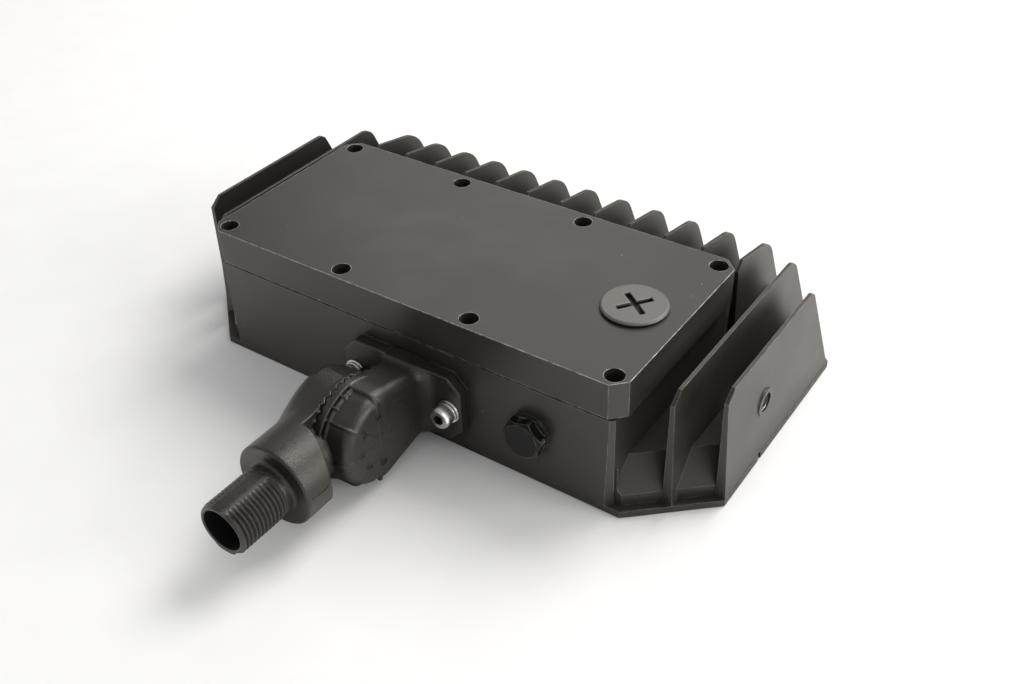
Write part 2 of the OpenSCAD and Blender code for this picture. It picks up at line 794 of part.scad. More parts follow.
module closure_plug() {
  r = plug_flange_d/2;
  color(bronze_light) in_place() translate([plug_x, plug_y, light_h]) difference() {
    union() {
      rotate_extrude() polygon([
        [0, 0], [r, 0], [r, plug_flange_h - plug_bevel], [r - plug_bevel, plug_flange_h],
        [0, plug_flange_h]
      ]);
      translate([0, 0, -plug_shank_l])
        cylinder(r = plug_shank_d/2 - thread_gap, h = plug_shank_l + plug_bevel);
    }
    for (turn = [0, 90]) rotate(slot_turn + turn)
      translate([0, 0, plug_flange_h]) cube([slot_l, slot_w, 2*slot_depth], center = true);
    translate([0, 0, -plug_shank_l - past])
      cylinder(r = plug_shank_d/2 - plug_wall, h = plug_shank_l - plug_wall + past);
  }
}

module plug_seal() {
  color(rubber_black) in_place() translate([plug_x, plug_y, light_h - seal_r])
    rotate_extrude() translate([plug_shank_d/2 + seal_out, 0]) circle(seal_r - seal_gap);
}

// Sets its children on the vent's axis, with Z out of the near wall
module on_vent() {
  in_place() translate([vent_x, -base_near, vent_z]) rotate([90, 0, 0]) children();
}

module breather_vent() {
  corner_r = vent_hex/2/cos(30);
  r = corner_r - 0.2;
  top = vent_flange_t + vent_hex_l;
  slot_z = vent_flange_t + vent_slot.z;
  stem = vent_seal_t + base_near - box_y + vent_boss_l;
  color(black_plastic) on_vent() translate([0, 0, vent_seal_t]) difference() {
    union() {
      cylinder(d = vent_flange_d, h = vent_flange_t);
      translate([0, 0, -stem]) cylinder(r = vent_stem_d/2 - thread_gap, h = stem + vent_flange_t);
      intersection() {
        translate([0, 0, vent_flange_t/2]) rotate(vent_turn) cylinder(r = corner_r, h = top, $fn = 6);
        rotate_extrude() polygon([
          [0, 0], [r, 0], [r, top - vent_bevel], [vent_hex/2 - 0.6, top], [0, top]
        ]);
      }
    }
    translate([0, 0, -stem - past])
      cylinder(r = vent_stem_d/2 - vent_wall, h = stem + slot_z + past);
    for (turn = [0, 90]) rotate(vent_turn + turn)
      translate([vent_hex/2 - vent_slot.x/2 + past, 0, slot_z]) cube(vent_slot, center = true);
  }
}

module vent_seal() {
  color(rubber_black) on_vent() ring(vent_flange_d/2 - 0.4, vent_stem_d/2 + hole_gap, vent_seal_t);
}

module vent_membrane() {
  color("white") on_vent() translate([0, 0, vent_seal_t - membrane_in])
    cylinder(r = vent_stem_d/2 - vent_wall - thread_gap, h = membrane_t);
}

// Sets its children on the tilt axis at the seam, with Z along +X and X along -Z of the light
module on_hub() {
  in_place() translate([seam_x, -hub_y, knuckle_z]) rotate([0, 90, 0]) children();
}

// Half section of a drum of radius r and length h with a rim of radius e
module rim_profile(r, h, e) {
  square([r - e, h]);
  square([r, h - e]);
  translate([r - e, h - e]) circle(e);
}

// What both drum halves lose at the seam: wire chamber, seal groove and tooth gaps
module seam_cuts(phase) {
  translate([0, 0, seam_gap - past]) ring(chamber_r, pivot_boss_r, chamber_depth + past);
  translate([0, 0, seam_gap - past])
    ring(groove_r + groove_half, groove_r - groove_half, groove_half - seam_gap + past);
  for (i = [0:tooth_count - 1]) rotate((i + phase)*360/tooth_count)
    translate([tooth_in_r, 0, 0]) rotate([90, 0, 90]) linear_extrude(band_r + past - tooth_in_r)
      polygon([[-tooth_w/2, 0], [tooth_w/2, 0], [0, tooth_h + seam_gap]]);
}

// Sunken panels between the degree ribs of the drum
module degree_panels() {
  rib_turn = rib_w/hub_r*180/PI;
  for (i = [0:3]) rotate(180 + degree_step*i + rib_turn/2)
    rotate_extrude(angle = degree_step - rib_turn) difference() {
      rim_profile(hub_r + past, hub_half + past, hub_rim + past);
      rim_profile(hub_r - panel_depth, hub_half - panel_depth, hub_rim - panel_depth);
      square([panel_in_r, hub_half + 2*past]);
      square([hub_r + 2*past, band_w]);
    }
}

// Neck between the drum half and the flange, with rounded outer edges
module base_neck() {
  reach = norm([hub_reach, neck_h]);
  turn = atan2(neck_h, hub_reach) + acos(hub_r/reach);
  run = sqrt(reach*reach - hub_r*hub_r);
  difference() {
    translate([0, 0, seam_gap]) linear_extrude(hub_half - seam_gap) polygon([
      [-neck_h, hub_reach], [neck_h, hub_reach],
      [hub_r*sin(turn), hub_r*cos(turn)], [0, 0], [-hub_r*sin(turn), hub_r*cos(turn)]
    ]);
    for (side = [0, 1]) mirror([side, 0, 0]) rotate(turn + 90) rotate([90, 0, 0])
      linear_extrude(run) difference() {
        translate([hub_r - hub_rim, hub_half - hub_rim]) square(hub_rim + past);
        translate([hub_r - hub_rim, hub_half - hub_rim]) circle(hub_rim);
      }
  }
}

module knuckle_base() {
  color(bronze) difference() {
    union() {
      on_hub() {
        translate([0, 0, seam_gap]) {
          rotate_extrude() rim_profile(hub_r, hub_half - seam_gap, hub_rim);
          cylinder(r = band_r, h = band_w - seam_gap);
        }
        base_neck();
      }
      in_place() translate([flange_x, -flange_y, knuckle_z]) rotate([-90, 0, 0])
        linear_extrude(flange_t) polygon(cut_rect(flange_l/2, flange_h/2, flange_corner));
    }
    on_hub() {
      seam_cuts(0);
      degree_panels();
      cylinder(r = pivot_r, h = pivot_depth);
      translate([knuckle_z - passage_z, 0, passage_off])
        rod_y(passage_r, passage_start, hub_reach + flange_t + past);
    }
    in_place() at_flange_screws() rod_y(m5_r + hole_gap, -flange_y - past, -base_near);
  }
}

module flange_gasket() {
  color(rubber_black) in_place() difference() {
    translate([flange_x, -base_near, knuckle_z]) rotate([90, 0, 0]) linear_extrude(flange_gasket_t)
      polygon(cut_rect(flange_l/2 - 2*pad_inset, flange_h/2 - 2*pad_inset, flange_corner));
    at_flange_screws() rod_y(m5_r + hole_gap, -flange_y, -box_y);
    translate([seam_x + passage_off, 0, passage_z]) rod_y(passage_r + hole_gap, -flange_y, -box_y);
  }
}

// Sets its children on each flange screw's axis at height h over the flange, with Z outwards
module on_flange_screws(h) {
  in_place() at_flange_screws() translate([0, -flange_y - h, 0]) rotate([90, 0, 0]) children();
}

module flange_screws() {
  edge = 0.5;
  color(steel) on_flange_screws(washer_t + spring_t) difference() {
    union() {
      rotate_extrude() polygon([
        [0, 0], [cap_head_r, 0], [cap_head_r, cap_head_h - edge], [cap_head_r - edge, cap_head_h],
        [0, cap_head_h]
      ]);
      translate([0, 0, -flange_screw_l]) cylinder(r = m5_r - thread_gap, h = flange_screw_l + edge);
    }
    translate([0, 0, cap_head_h/2]) cylinder(r = hex_socket_r, h = cap_head_h, $fn = 6);
  }
}

module flange_spring_washers() {
  color(steel) on_flange_screws(washer_t) difference() {
    ring(spring_r, m5_r + hole_gap, spring_t);
    rotate(-30) translate([spring_r, 0, spring_t/2]) rotate([35, 0, 0])
      cube([2*(spring_r - m5_r) + past, spring_cut, 4*spring_t], center = true);
  }
}

module flange_washers() {
  color(steel) on_flange_screws(0) ring(washer_r, m5_r + hole_gap, washer_t);
}

// Half section of the threaded stub, from the collar to its mouth
module stub_profile() {
  r = thread_d/2;
  count = floor((stub_l - stub_plain)/thread_pitch);
  polygon([
    [0, -past], [stub_neck_r, -past], [stub_neck_r, stub_plain],
    for (i = [0:count - 1], p = [[0, root_r], [0.1, root_r], [0.4, r], [0.6, r], [0.9, root_r]])
      [p[1], stub_plain + (i + p[0])*thread_pitch],
    [root_r, stub_l], [0, stub_l]
  ]);
}

// Threaded stub with its two casting flats, along +Z from the collar
module stub() {
  intersection() {
    rotate_extrude() stub_profile();
    cube([flat_h, 2*thread_d, 4*stub_l], center = true);
  }
  translate([-flat_h/2, -flat_w/2, stub_plain]) cube([flat_h, flat_w, stub_l - stub_plain]);
}

module arm_solid() {
  mirror([0, 0, 1]) translate([0, 0, seam_gap]) {
    rotate_extrude() rim_profile(arm_hub_r, arm_half - seam_gap, arm_rim);
    cylinder(r = band_r, h = arm_band_w - seam_gap);
  }
  translate([0, 0, stub_off]) rotate([90, 0, 0]) {
    rotate_extrude() rim_profile(collar_r, collar_reach, collar_edge);
    translate([0, 0, collar_reach]) stub();
  }
}

module knuckle_arm() {
  bore_r = stub_bore_d/2;
  bore_end = collar_reach - bore_in;
  color(bronze) on_hub() difference() {
    arm_solid();
    translate([0, 0, -seam_gap]) cylinder(r = saddle_r, h = 2*collar_r);
    mirror([0, 0, 1]) seam_cuts(0.5);
    translate([0, 0, stub_off]) {
      rod_y(bore_r, -mouth_reach - past, -bore_end);
      translate([0, -mouth_reach, 0]) rotate([-90, 0, 0])
        cylinder(r1 = bore_r + mouth_flare, r2 = bore_r, h = mouth_flare);
    }
    translate([0, 0, -passage_off]) rod_y(passage_r, -bore_end - past, -passage_start);
    translate([0, 0, -arm_half - past]) {
      cylinder(r = pivot_r - thread_gap + run_gap, h = arm_half + 2*past);
      cylinder(r = counterbore_r, h = arm_half - head_floor + past);
    }
  }
}

module pivot_bolt() {
  seat = head_floor + pivot_washer_t + run_gap;
  reach = pivot_depth - tip_gap/2;
  color(steel) on_hub() difference() {
    union() {
      translate([0, 0, -seat - pivot_head_h]) cylinder(r = pivot_head_r, h = pivot_head_h);
      translate([0, 0, -seat - past]) cylinder(r = pivot_r - thread_gap, h = seat + reach + past);
    }
    translate([0, 0, -seat - pivot_head_h - past])
      cylinder(r = 0.55*pivot_head_r, h = pivot_head_h/2 + past, $fn = 6);
  }
}

module pivot_washer() {
  color(steel) on_hub() translate([0, 0, -head_floor - pivot_washer_t - run_gap])
    ring(counterbore_r - hole_gap, pivot_r, pivot_washer_t);
}

module pivot_seal() {
  color(rubber_black) on_hub()
    rotate_extrude() translate([groove_r, 0]) circle(groove_half - 2*seal_gap);
}

module lens_frame() {
  color(bronze) in_place() difference() {
    pan_plate(pan_wall + frame_gap, frame_sink, pocket_z);
    pan_plate(window_in, 0, pocket_z + past);
    at_frame_screws() {
      cylinder(r = m4_r + hole_gap, h = pocket_z + past);
      translate([0, 0, frame_sink])
        cylinder(r1 = countersink_r + hole_gap/2, r2 = m4_r, h = countersink_r + hole_gap/2 - m4_r);
    }
  }
}

module lens_frame_screws() {
  shank_r = m4_r - thread_gap;
  color(steel) in_place() at_frame_screws() translate([0, 0, frame_sink]) difference() {
    union() {
      cylinder(r1 = countersink_r, r2 = shank_r, h = countersink_r - shank_r);
      cylinder(r = shank_r, h = frame_screw_l);
    }
    translate([0, 0, -past]) cylinder(r = shank_r, h = 2*past, $fn = 6);
  }
}

module lens_glass() {
  color([0.8, 0.85, 0.86, 0.5]) in_place()
    pan_plate(glass_in + gasket_play + gasket_web, glass_z, glass_z + glass_t);
}

module lens_gasket() {
  color(silicone) in_place() difference() {
    pan_plate(glass_in + gasket_play, pocket_z, seat_z);
    pan_plate(glass_in + gasket_play + gasket_web, glass_z, glass_z + glass_t);
    pan_plate(window_in - lip_inset, 0, light_h);
  }
}

module led_board() {
  color(board_white) in_place() difference() {
    pan_plate(board_in, board_z, board_z + board_t);
    at_board_screws() cylinder(r = m3_r + hole_gap, h = light_h);
    translate([lead_x, lead_y, 0]) cylinder(r = lead_hole_r, h = light_h);
  }
}

module led_chips() {
  color("#e8d44a") in_place() at_leds()
    translate([0, 0, board_z - led_t/2]) cube([led_size, led_size, led_t], center = true);
}

module thermal_pad() {
  color(silicone) in_place() difference() {
    pan_plate(board_in + lip_inset, roof_z - pad_t, roof_z);
    at_board_screws() cylinder(r = m3_r + hole_gap, h = light_h);
    translate([lead_x, lead_y, 0]) cylinder(r = grommet_r, h = light_h);
  }
}

module reflector() {
  play = 1;
  flare = past*(cup_r_mouth - cup_r_top)/cup_depth;
  color(silver) in_place() difference() {
    pan_plate(reflector_in, cup_z, board_z);
    at_leds() translate([0, 0, cup_z - past])
      cylinder(r1 = cup_r_mouth + flare, r2 = cup_r_top - flare, h = cup_depth + 2*past);
    at_board_screws() {
      cylinder(r = m3_r + hole_gap, h = light_h);
      cylinder(r = m3_head_r + hole_gap, h = cup_z + m3_head_h + hole_gap);
    }
    translate([lead_x, lead_y, board_z])
      cube([connector.x + play, connector.y + play, 4*cup_depth], center = true);
  }
}

module board_screws() {
  seat = cup_z + m3_head_h + hole_gap;
  color(steel) in_place() at_board_screws() translate([0, 0, seat]) mirror([0, 0, 1])
    screw(m3_r, roof_z + board_screw_l - seat, m3_head_r, m3_head_h);
}

module led_connector() {
  color(board_white) in_place() translate([lead_x, lead_y, board_z - connector.z/2])
    cube(connector, center = true);
}

// Leads from the driver's end, bent down through the roof to the connector
module led_leads() {
  run = lead_x - driver_x1 - lead_bend;
  color("#a02020") in_place() for (side = [-1, 1])
    translate([driver_x1, lead_y + side*lead_off, lead_z]) {
      rod_x(wire_r, 0, run);
      translate([run, 0, -lead_bend]) rotate([90, 0, 0])
        rotate_extrude(angle = 90) translate([lead_bend, 0]) circle(wire_r);
      translate([run + lead_bend, 0, board_z - lead_z])
        cylinder(r = wire_r, h = lead_z - lead_bend - board_z);
    }
}

module lead_grommet() {
  color(rubber_black) in_place() translate([lead_x, lead_y, 0]) difference() {
    union() {
      translate([0, 0, pan_h]) cylinder(r = grommet_flange_r, h = grommet_flange_t);
      translate([0, 0, roof_z - pad_t/2])
        cylinder(r = grommet_r - thread_gap, h = pan_roof + grommet_flange_t);
    }
    cylinder(r = lead_hole_r, h = light_h);
  }
}

module driver() {
  case_edge = 2;
  color("#e4e4df") in_place() difference() {
    union() {
      translate([(driver_x0 + driver_x1)/2, 0, tab_z]) linear_extrude(driver_h)
        polygon(cut_rect(driver_l/2, driver_w/2, case_edge));
      translate([driver_x0 - tab_l, -tab_w/2, tab_z]) cube([driver_l + 2*tab_l, tab_w, tab_t]);
    }
    at_driver_screws() cylinder(r = m4_r + hole_gap, h = light_h);
  }
}

module driver_screws() {
  color(steel) in_place() at_driver_screws() translate([0, 0, tab_z + tab_t])
    screw(m4_r, driver_screw_l + tab_t, m4_head_r, m4_head_h);
}

module terminal_block() {
  color("#d8d8d2") in_place() difference() {
    translate([block_x, block_y - block_w/2, pan_h]) cube([block_l, block_w, block_h]);
    at_terminals() translate([0, 0, pan_h + block_h - well_depth]) cylinder(r = well_r, h = block_h);
  }
}

module terminal_screws() {
  slot = 0.8;
  color(steel) in_place() at_terminals() translate([0, 0, pan_h + block_h - well_depth])
    difference() {
      cylinder(r = terminal_screw_r, h = terminal_screw_h);
      translate([0, 0, terminal_screw_h]) cube([4*terminal_screw_r, slot, 2*slot], center = true);
    }
}

module driver_leads() {
  color("#303030") in_place() for (side = [-1, 1])
    translate([0, block_y + side*terminal_pitch/2, supply_z]) rod_x(wire_r, driver_x1, block_x);
}

module earth_screw() {
  color("#c9a24a") in_place() translate([earth_x, earth_y, pan_h + earth_post_h + lug_t])
    screw(m4_r, earth_post_h + lug_t - tip_gap/2, m4_head_r, m4_head_h);
}

// Lead from the terminal block to a ring under the earth screw
module earth_lead() {
  run = earth_y - block_y - block_w/2;
  color("#3f7a34") in_place() translate([earth_x, earth_y, pan_h + earth_post_h]) {
    ring(lug_r, m4_r + hole_gap, lug_t);
    translate([-wire_r, -lug_r - 2, 0]) cube([2*wire_r, 3, lug_t]);
    translate([0, 0, wire_r]) rod_y(wire_r, -run, -lug_r - 1);
  }
}

housing();
rear_cover();
cover_gasket();
cover_screws();
closure_plug();
plug_seal();
breather_vent();
vent_seal();
vent_membrane();
knuckle_base();
flange_gasket();
flange_screws();
flange_spring_washers();
flange_washers();
knuckle_arm();
pivot_bolt();
pivot_washer();
pivot_seal();
lens_frame();
lens_frame_screws();
lens_glass();
lens_gasket();
led_board();
led_chips();
thermal_pad();
reflector();
board_screws();
led_connector();
led_leads();
lead_grommet();
driver();
driver_screws();
terminal_block();
terminal_screws();
driver_leads();
earth_screw();
earth_lead();
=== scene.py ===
import json
import math

import bpy
import numpy as np
from mathutils import Matrix, Vector


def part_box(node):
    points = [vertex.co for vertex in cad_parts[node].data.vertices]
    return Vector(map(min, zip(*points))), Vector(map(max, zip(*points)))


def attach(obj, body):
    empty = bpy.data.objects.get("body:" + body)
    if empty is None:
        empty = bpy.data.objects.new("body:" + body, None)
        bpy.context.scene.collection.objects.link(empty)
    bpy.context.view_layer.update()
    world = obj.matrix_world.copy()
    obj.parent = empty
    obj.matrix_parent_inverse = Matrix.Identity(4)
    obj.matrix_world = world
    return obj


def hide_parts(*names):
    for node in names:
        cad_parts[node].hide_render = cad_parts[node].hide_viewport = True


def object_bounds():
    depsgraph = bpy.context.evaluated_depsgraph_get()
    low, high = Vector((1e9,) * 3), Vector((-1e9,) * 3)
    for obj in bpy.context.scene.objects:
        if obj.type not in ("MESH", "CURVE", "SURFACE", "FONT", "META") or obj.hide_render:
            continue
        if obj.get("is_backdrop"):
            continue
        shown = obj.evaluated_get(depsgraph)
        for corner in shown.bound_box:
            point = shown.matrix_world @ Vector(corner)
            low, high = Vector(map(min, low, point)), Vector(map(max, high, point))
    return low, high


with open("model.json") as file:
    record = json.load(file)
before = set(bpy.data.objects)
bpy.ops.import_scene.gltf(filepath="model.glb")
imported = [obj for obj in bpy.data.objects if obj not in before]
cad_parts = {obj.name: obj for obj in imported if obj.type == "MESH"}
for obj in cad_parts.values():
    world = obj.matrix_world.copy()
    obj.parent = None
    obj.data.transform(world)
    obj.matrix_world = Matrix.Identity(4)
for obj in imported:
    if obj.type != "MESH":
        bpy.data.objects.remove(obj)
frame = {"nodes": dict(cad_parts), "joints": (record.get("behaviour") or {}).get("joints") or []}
cad_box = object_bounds()
MM = 0.001


def box_mm(name):
    """Lowest and highest corner of a node, in millimetres."""
    return [[round(c / MM, 3) for c in corner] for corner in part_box(name)]


# Camera and studio

CAMERA_PLACE = (0.2430, -0.2883, 0.3074)
CAMERA_AZIMUTH, CAMERA_ELEVATION, CAMERA_ROLL = 35.81, 37.30, -2.17
CAMERA_LENS_MM, FILM_WIDTH_MM = 39.95, 36


def make_camera():
    """Camera at the photograph's place, found from the rear cover's edges."""
    data = bpy.data.cameras.new("camera")
    data.sensor_width = FILM_WIDTH_MM
    data.lens = CAMERA_LENS_MM
    data.clip_start, data.clip_end = 0.01, 30
    camera = bpy.data.objects.new("camera", data)
    bpy.context.scene.collection.objects.link(camera)
    az, el, roll = (math.radians(a) for a in (CAMERA_AZIMUTH, CAMERA_ELEVATION, CAMERA_ROLL))
    back = Vector((math.sin(az) * math.cos(el), -math.cos(az) * math.cos(el), math.sin(el)))
    right = Vector((math.cos(az), math.sin(az), 0))
    up = back.cross(right)
    turned_right = math.cos(roll) * right + math.sin(roll) * up
    turned_up = math.cos(roll) * up - math.sin(roll) * right
    camera.matrix_world = Matrix.Translation(CAMERA_PLACE) @ Matrix(
        (turned_right, turned_up, back)).transposed().to_4x4()
    bpy.context.scene.camera = camera


KEY_LIGHT, WARM_LIGHT, NEUTRAL_LIGHT = (1.0, 0.985, 0.96), (1.0, 0.98, 0.95), (1.0, 1.0, 1.0)
# Strength of the even air on the left and right, and the directions between which it grows
AIR_LEFT, AIR_RIGHT = 0.33, 0.70
AIR_LEFT_X, AIR_RIGHT_X = -0.7, 0.6
LIGHT_FOOT, LIGHT_MIDDLE = (0, 0, 0), (0, 0, 0.03)


def softbox(name, place, target, size, power, colour):
    """Rectangular area light at a place in metres, turned towards a target."""
    data = bpy.data.lights.new(name, "AREA")
    data.shape = "RECTANGLE"
    data.size, data.size_y = size
    data.energy = power
    data.color = colour
    lamp = bpy.data.objects.new(name, data)
    bpy.context.scene.collection.objects.link(lamp)
    lamp.location = place
    lamp.rotation_mode = "QUATERNION"
    lamp.rotation_quaternion = (Vector(target) - Vector(place)).to_track_quat("-Z", "Y")


def make_studio():
    """Even air, brighter on the right, with a key behind and three weaker softboxes."""
    world = bpy.data.worlds.new("studio_air")
    bpy.context.scene.world = world
    world.use_nodes = True
    background = world.node_tree.nodes["Background"]
    background.inputs["Color"].default_value = (1, 1, 1, 1)
    tree = world.node_tree
    split = node(tree, "ShaderNodeSeparateXYZ")
    wire(tree, node(tree, "ShaderNodeTexCoord").outputs["Generated"], split.inputs[0])
    strength = spread(tree, split.outputs["X"], AIR_LEFT_X, AIR_RIGHT_X, AIR_LEFT, AIR_RIGHT)
    wire(tree, strength, background.inputs["Strength"])
    softbox("key_softbox", (0.35, 1.0, 1.25), LIGHT_FOOT, (0.9, 0.9), 18, KEY_LIGHT)
    softbox("back_softbox", (-0.8, 1.15, 1.0), LIGHT_FOOT, (0.8, 0.6), 2.2, WARM_LIGHT)
    softbox("left_strip", (-1.3, -0.5, 0.9), LIGHT_MIDDLE, (0.3, 0.9), 1.2, NEUTRAL_LIGHT)
    softbox("right_softbox", (1.25, 0.3, 0.42), LIGHT_MIDDLE, (0.8, 0.7), 9.0, WARM_LIGHT)
    bpy.context.scene.view_settings.view_transform = "Standard"


FLOOR_REACH = 6.0
FLOOR_HEIGHT = -0.3 * MM


def make_floor():
    """Pale plain floor, a hair under the front rim."""
    mesh = bpy.data.meshes.new("floor")
    corners = [(a * FLOOR_REACH, b * FLOOR_REACH, FLOOR_HEIGHT)
               for a, b in ((-1, -1), (1, -1), (1, 1), (-1, 1))]
    mesh.from_pydata(corners, [], [(0, 1, 2, 3)])
    floor = bpy.data.objects.new("floor", mesh)
    bpy.context.scene.collection.objects.link(floor)
    floor.data.materials.append(floor_paper())
    floor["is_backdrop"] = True


# Shader groups

# Sizes of the marks in a coat, in millimetres
GRAIN_MM, PEEL_MM, CLOUD_MM, PIT_MM, SPECK_MM = 0.45, 2.6, 24, 1.1, 4.5
RUB_MM, RUB_PATCH_MM = 0.5, 3.0
# Reach in millimetres of the painted shade in deep places
SHELTER_MM = 40
# Share of the coat's tone that comes from the fine grain
FINE_TONE = 0.35
# Colour of dust specks, and near-black colour of the painted shade in the plug's recesses
DUST_COLOUR, RECESS_SHADE_COLOUR = (0.4, 0.39, 0.37), (0.004, 0.0036, 0.003)
# Near-black colour and added roughness of the painted shade in deep places
DEEP_SHADE_COLOUR, DEEP_SHADE_ROUGHNESS = (0.002, 0.0018, 0.0015), 0.6


def new_group(name, inputs, outputs):
    """Group with float inputs given as {name: value} and outputs given as {name: socket type}."""
    group = bpy.data.node_groups.new(name, "ShaderNodeTree")
    for label, value in inputs.items():
        socket = group.interface.new_socket(label, in_out="INPUT", socket_type="NodeSocketFloat")
        socket.default_value = value
    for label, kind in outputs.items():
        group.interface.new_socket(label, in_out="OUTPUT", socket_type=kind)
    nodes = group.nodes
    return group, nodes.new("NodeGroupInput"), nodes.new("NodeGroupOutput")


def wire(tree, source, target):
    """Link between two sockets of a node tree."""
    tree.links.new(source, target)


def node(tree, kind, **settings):
    """New node of a kind, with its settings."""
    made = tree.nodes.new(kind)
    for key, value in settings.items():
        setattr(made, key, value)
    return made


def maths(tree, operation, a, b=None):
    """Result of a sum on one or two values, each a number or a socket."""
    made = node(tree, "ShaderNodeMath", operation=operation)
    for socket, value in zip(made.inputs, (a, b)):
        if value is None:
            continue
        if isinstance(value, (int, float)):
            socket.default_value = value
        else:
            wire(tree, value, socket)
    return made.outputs[0]


def spread(tree, value, low, high, to_low=0.0, to_high=1.0):
    """Value taken from the range low to high into the range to_low to to_high, and kept in it."""
    made = node(tree, "ShaderNodeMapRange", clamp=True)
    wire(tree, value, made.inputs["Value"])
    for label, number in (("From Min", low), ("From Max", high), ("To Min", to_low), ("To Max", to_high)):
        made.inputs[label].default_value = number
    return made.outputs["Result"]


def noise(tree, place, size_mm, detail=2.0, roughness=0.5):
    """Cloudy noise whose main lumps are about size_mm across."""
    made = node(tree, "ShaderNodeTexNoise")
    wire(tree, place, made.inputs["Vector"])
    made.inputs["Scale"].default_value = 1 / (size_mm * MM)
    made.inputs["Detail"].default_value = detail
    made.inputs["Roughness"].default_value = roughness
    return made.outputs["Fac"]


def grain_group():
    """Relief of a sprayed and baked coat over a casting: fine grain, orange peel and pits."""
    group, given, out = new_group("coat_grain", {"Grain": 1.0, "Peel": 1.0, "Pits": 0.0},
                                  {"Height": "NodeSocketFloat", "Tone": "NodeSocketFloat"})
    place = node(group, "ShaderNodeTexCoord").outputs["Object"]
    fine = spread(group, noise(group, place, GRAIN_MM, 3, 0.6), 0.3, 0.7)
    peel = noise(group, place, PEEL_MM, 2)
    wide = noise(group, place, CLOUD_MM, 3)
    cells = node(group, "ShaderNodeTexVoronoi")
    wire(group, place, cells.inputs["Vector"])
    cells.inputs["Scale"].default_value = 1 / (PIT_MM * MM)
    pit = spread(group, cells.outputs["Distance"], 0.0, 0.3)
    height = maths(group, "MULTIPLY", fine, given.outputs["Grain"])
    height = maths(group, "ADD", height, maths(group, "MULTIPLY", peel, given.outputs["Peel"]))
    height = maths(group, "ADD", height, maths(group, "MULTIPLY", pit, given.outputs["Pits"]))
    wire(group, height, out.inputs["Height"])
    tone = maths(group, "ADD", maths(group, "MULTIPLY", fine, FINE_TONE),
                 maths(group, "MULTIPLY", spread(group, wide, 0.3, 0.7), 1 - FINE_TONE))
    wire(group, tone, out.inputs["Tone"])
    return group


def edge_sheen_group():
    """Mask of the outer edges, lightened partly as rubbed wear and partly as painted highlight, broken up
    along their length.
    """
    group, given, out = new_group("edge_rub_and_highlight", {"Amount": 1.0}, {"Mask": "NodeSocketFloat"})
    place = node(group, "ShaderNodeTexCoord").outputs["Object"]
    soft = node(group, "ShaderNodeBevel", samples=4)
    soft.inputs["Radius"].default_value = RUB_MM * MM
    plain = node(group, "ShaderNodeNewGeometry")
    turn = node(group, "ShaderNodeVectorMath", operation="DOT_PRODUCT")
    wire(group, soft.outputs["Normal"], turn.inputs[0])
    wire(group, plain.outputs["Normal"], turn.inputs[1])
    edge = spread(group, turn.outputs["Value"], 0.995, 0.9)
    broken = spread(group, noise(group, place, RUB_PATCH_MM, 4, 0.65), 0.35, 0.6)
    mask = maths(group, "MULTIPLY", maths(group, "MULTIPLY", edge, broken), given.outputs["Amount"])
    wire(group, mask, out.inputs["Mask"])
    return group


def speck_group():
    """Mask of a few specks of dust and bright flakes in the coat."""
    group, given, out = new_group("dust_specks", {"Size": 0.06}, {"Mask": "NodeSocketFloat"})
    place = node(group, "ShaderNodeTexCoord").outputs["Object"]
    cells = node(group, "ShaderNodeTexVoronoi")
    wire(group, place, cells.inputs["Vector"])
    cells.inputs["Scale"].default_value = 1 / (SPECK_MM * MM)
    near = maths(group, "LESS_THAN", cells.outputs["Distance"], given.outputs["Size"])
    pick = node(group, "ShaderNodeSeparateColor")
    wire(group, cells.outputs["Color"], pick.inputs["Color"])
    some = maths(group, "GREATER_THAN", pick.outputs["Red"], 0.8)
    wire(group, maths(group, "MULTIPLY", near, some), out.inputs["Mask"])
    return group


def deep_shade_group():
    """Mask of deep places, such as the slots between fins, where the colour is darkened as painted shade.
    """
    group, given, out = new_group("deep_places_shade", {"Amount": 1.0}, {"Mask": "NodeSocketFloat"})
    shelter = node(group, "ShaderNodeAmbientOcclusion", samples=6)
    shelter.inputs["Distance"].default_value = SHELTER_MM * MM
    deep_shade = spread(group, shelter.outputs["AO"], 0.62, 0.3)
    wire(group, maths(group, "MULTIPLY", deep_shade, given.outputs["Amount"]), out.inputs["Mask"])
    return group


GRAIN, EDGE_SHEEN, SPECKS, DEEP_SHADE = grain_group(), edge_sheen_group(), speck_group(), deep_shade_group()


def place_group(tree, group, **values):
    """Shader group placed in a material with its own values."""
    made = node(tree, "ShaderNodeGroup")
    made.node_tree = group
    for label, value in values.items():
        made.inputs[label].default_value = value
    return made


def blend_colours(tree, mask, dark, light):
    """Mix from dark, where the mask is 0, to light, where it is 1; each is a colour or a socket."""
    made = node(tree, "ShaderNodeMix", data_type="RGBA")
    wire(tree, mask, made.inputs["Factor"])
    for socket, colour in ((made.inputs[6], dark), (made.inputs[7], light)):
        if isinstance(colour, tuple):
            socket.default_value = (*colour, 1)
        else:
            wire(tree, colour, socket)
    return made.outputs[2]


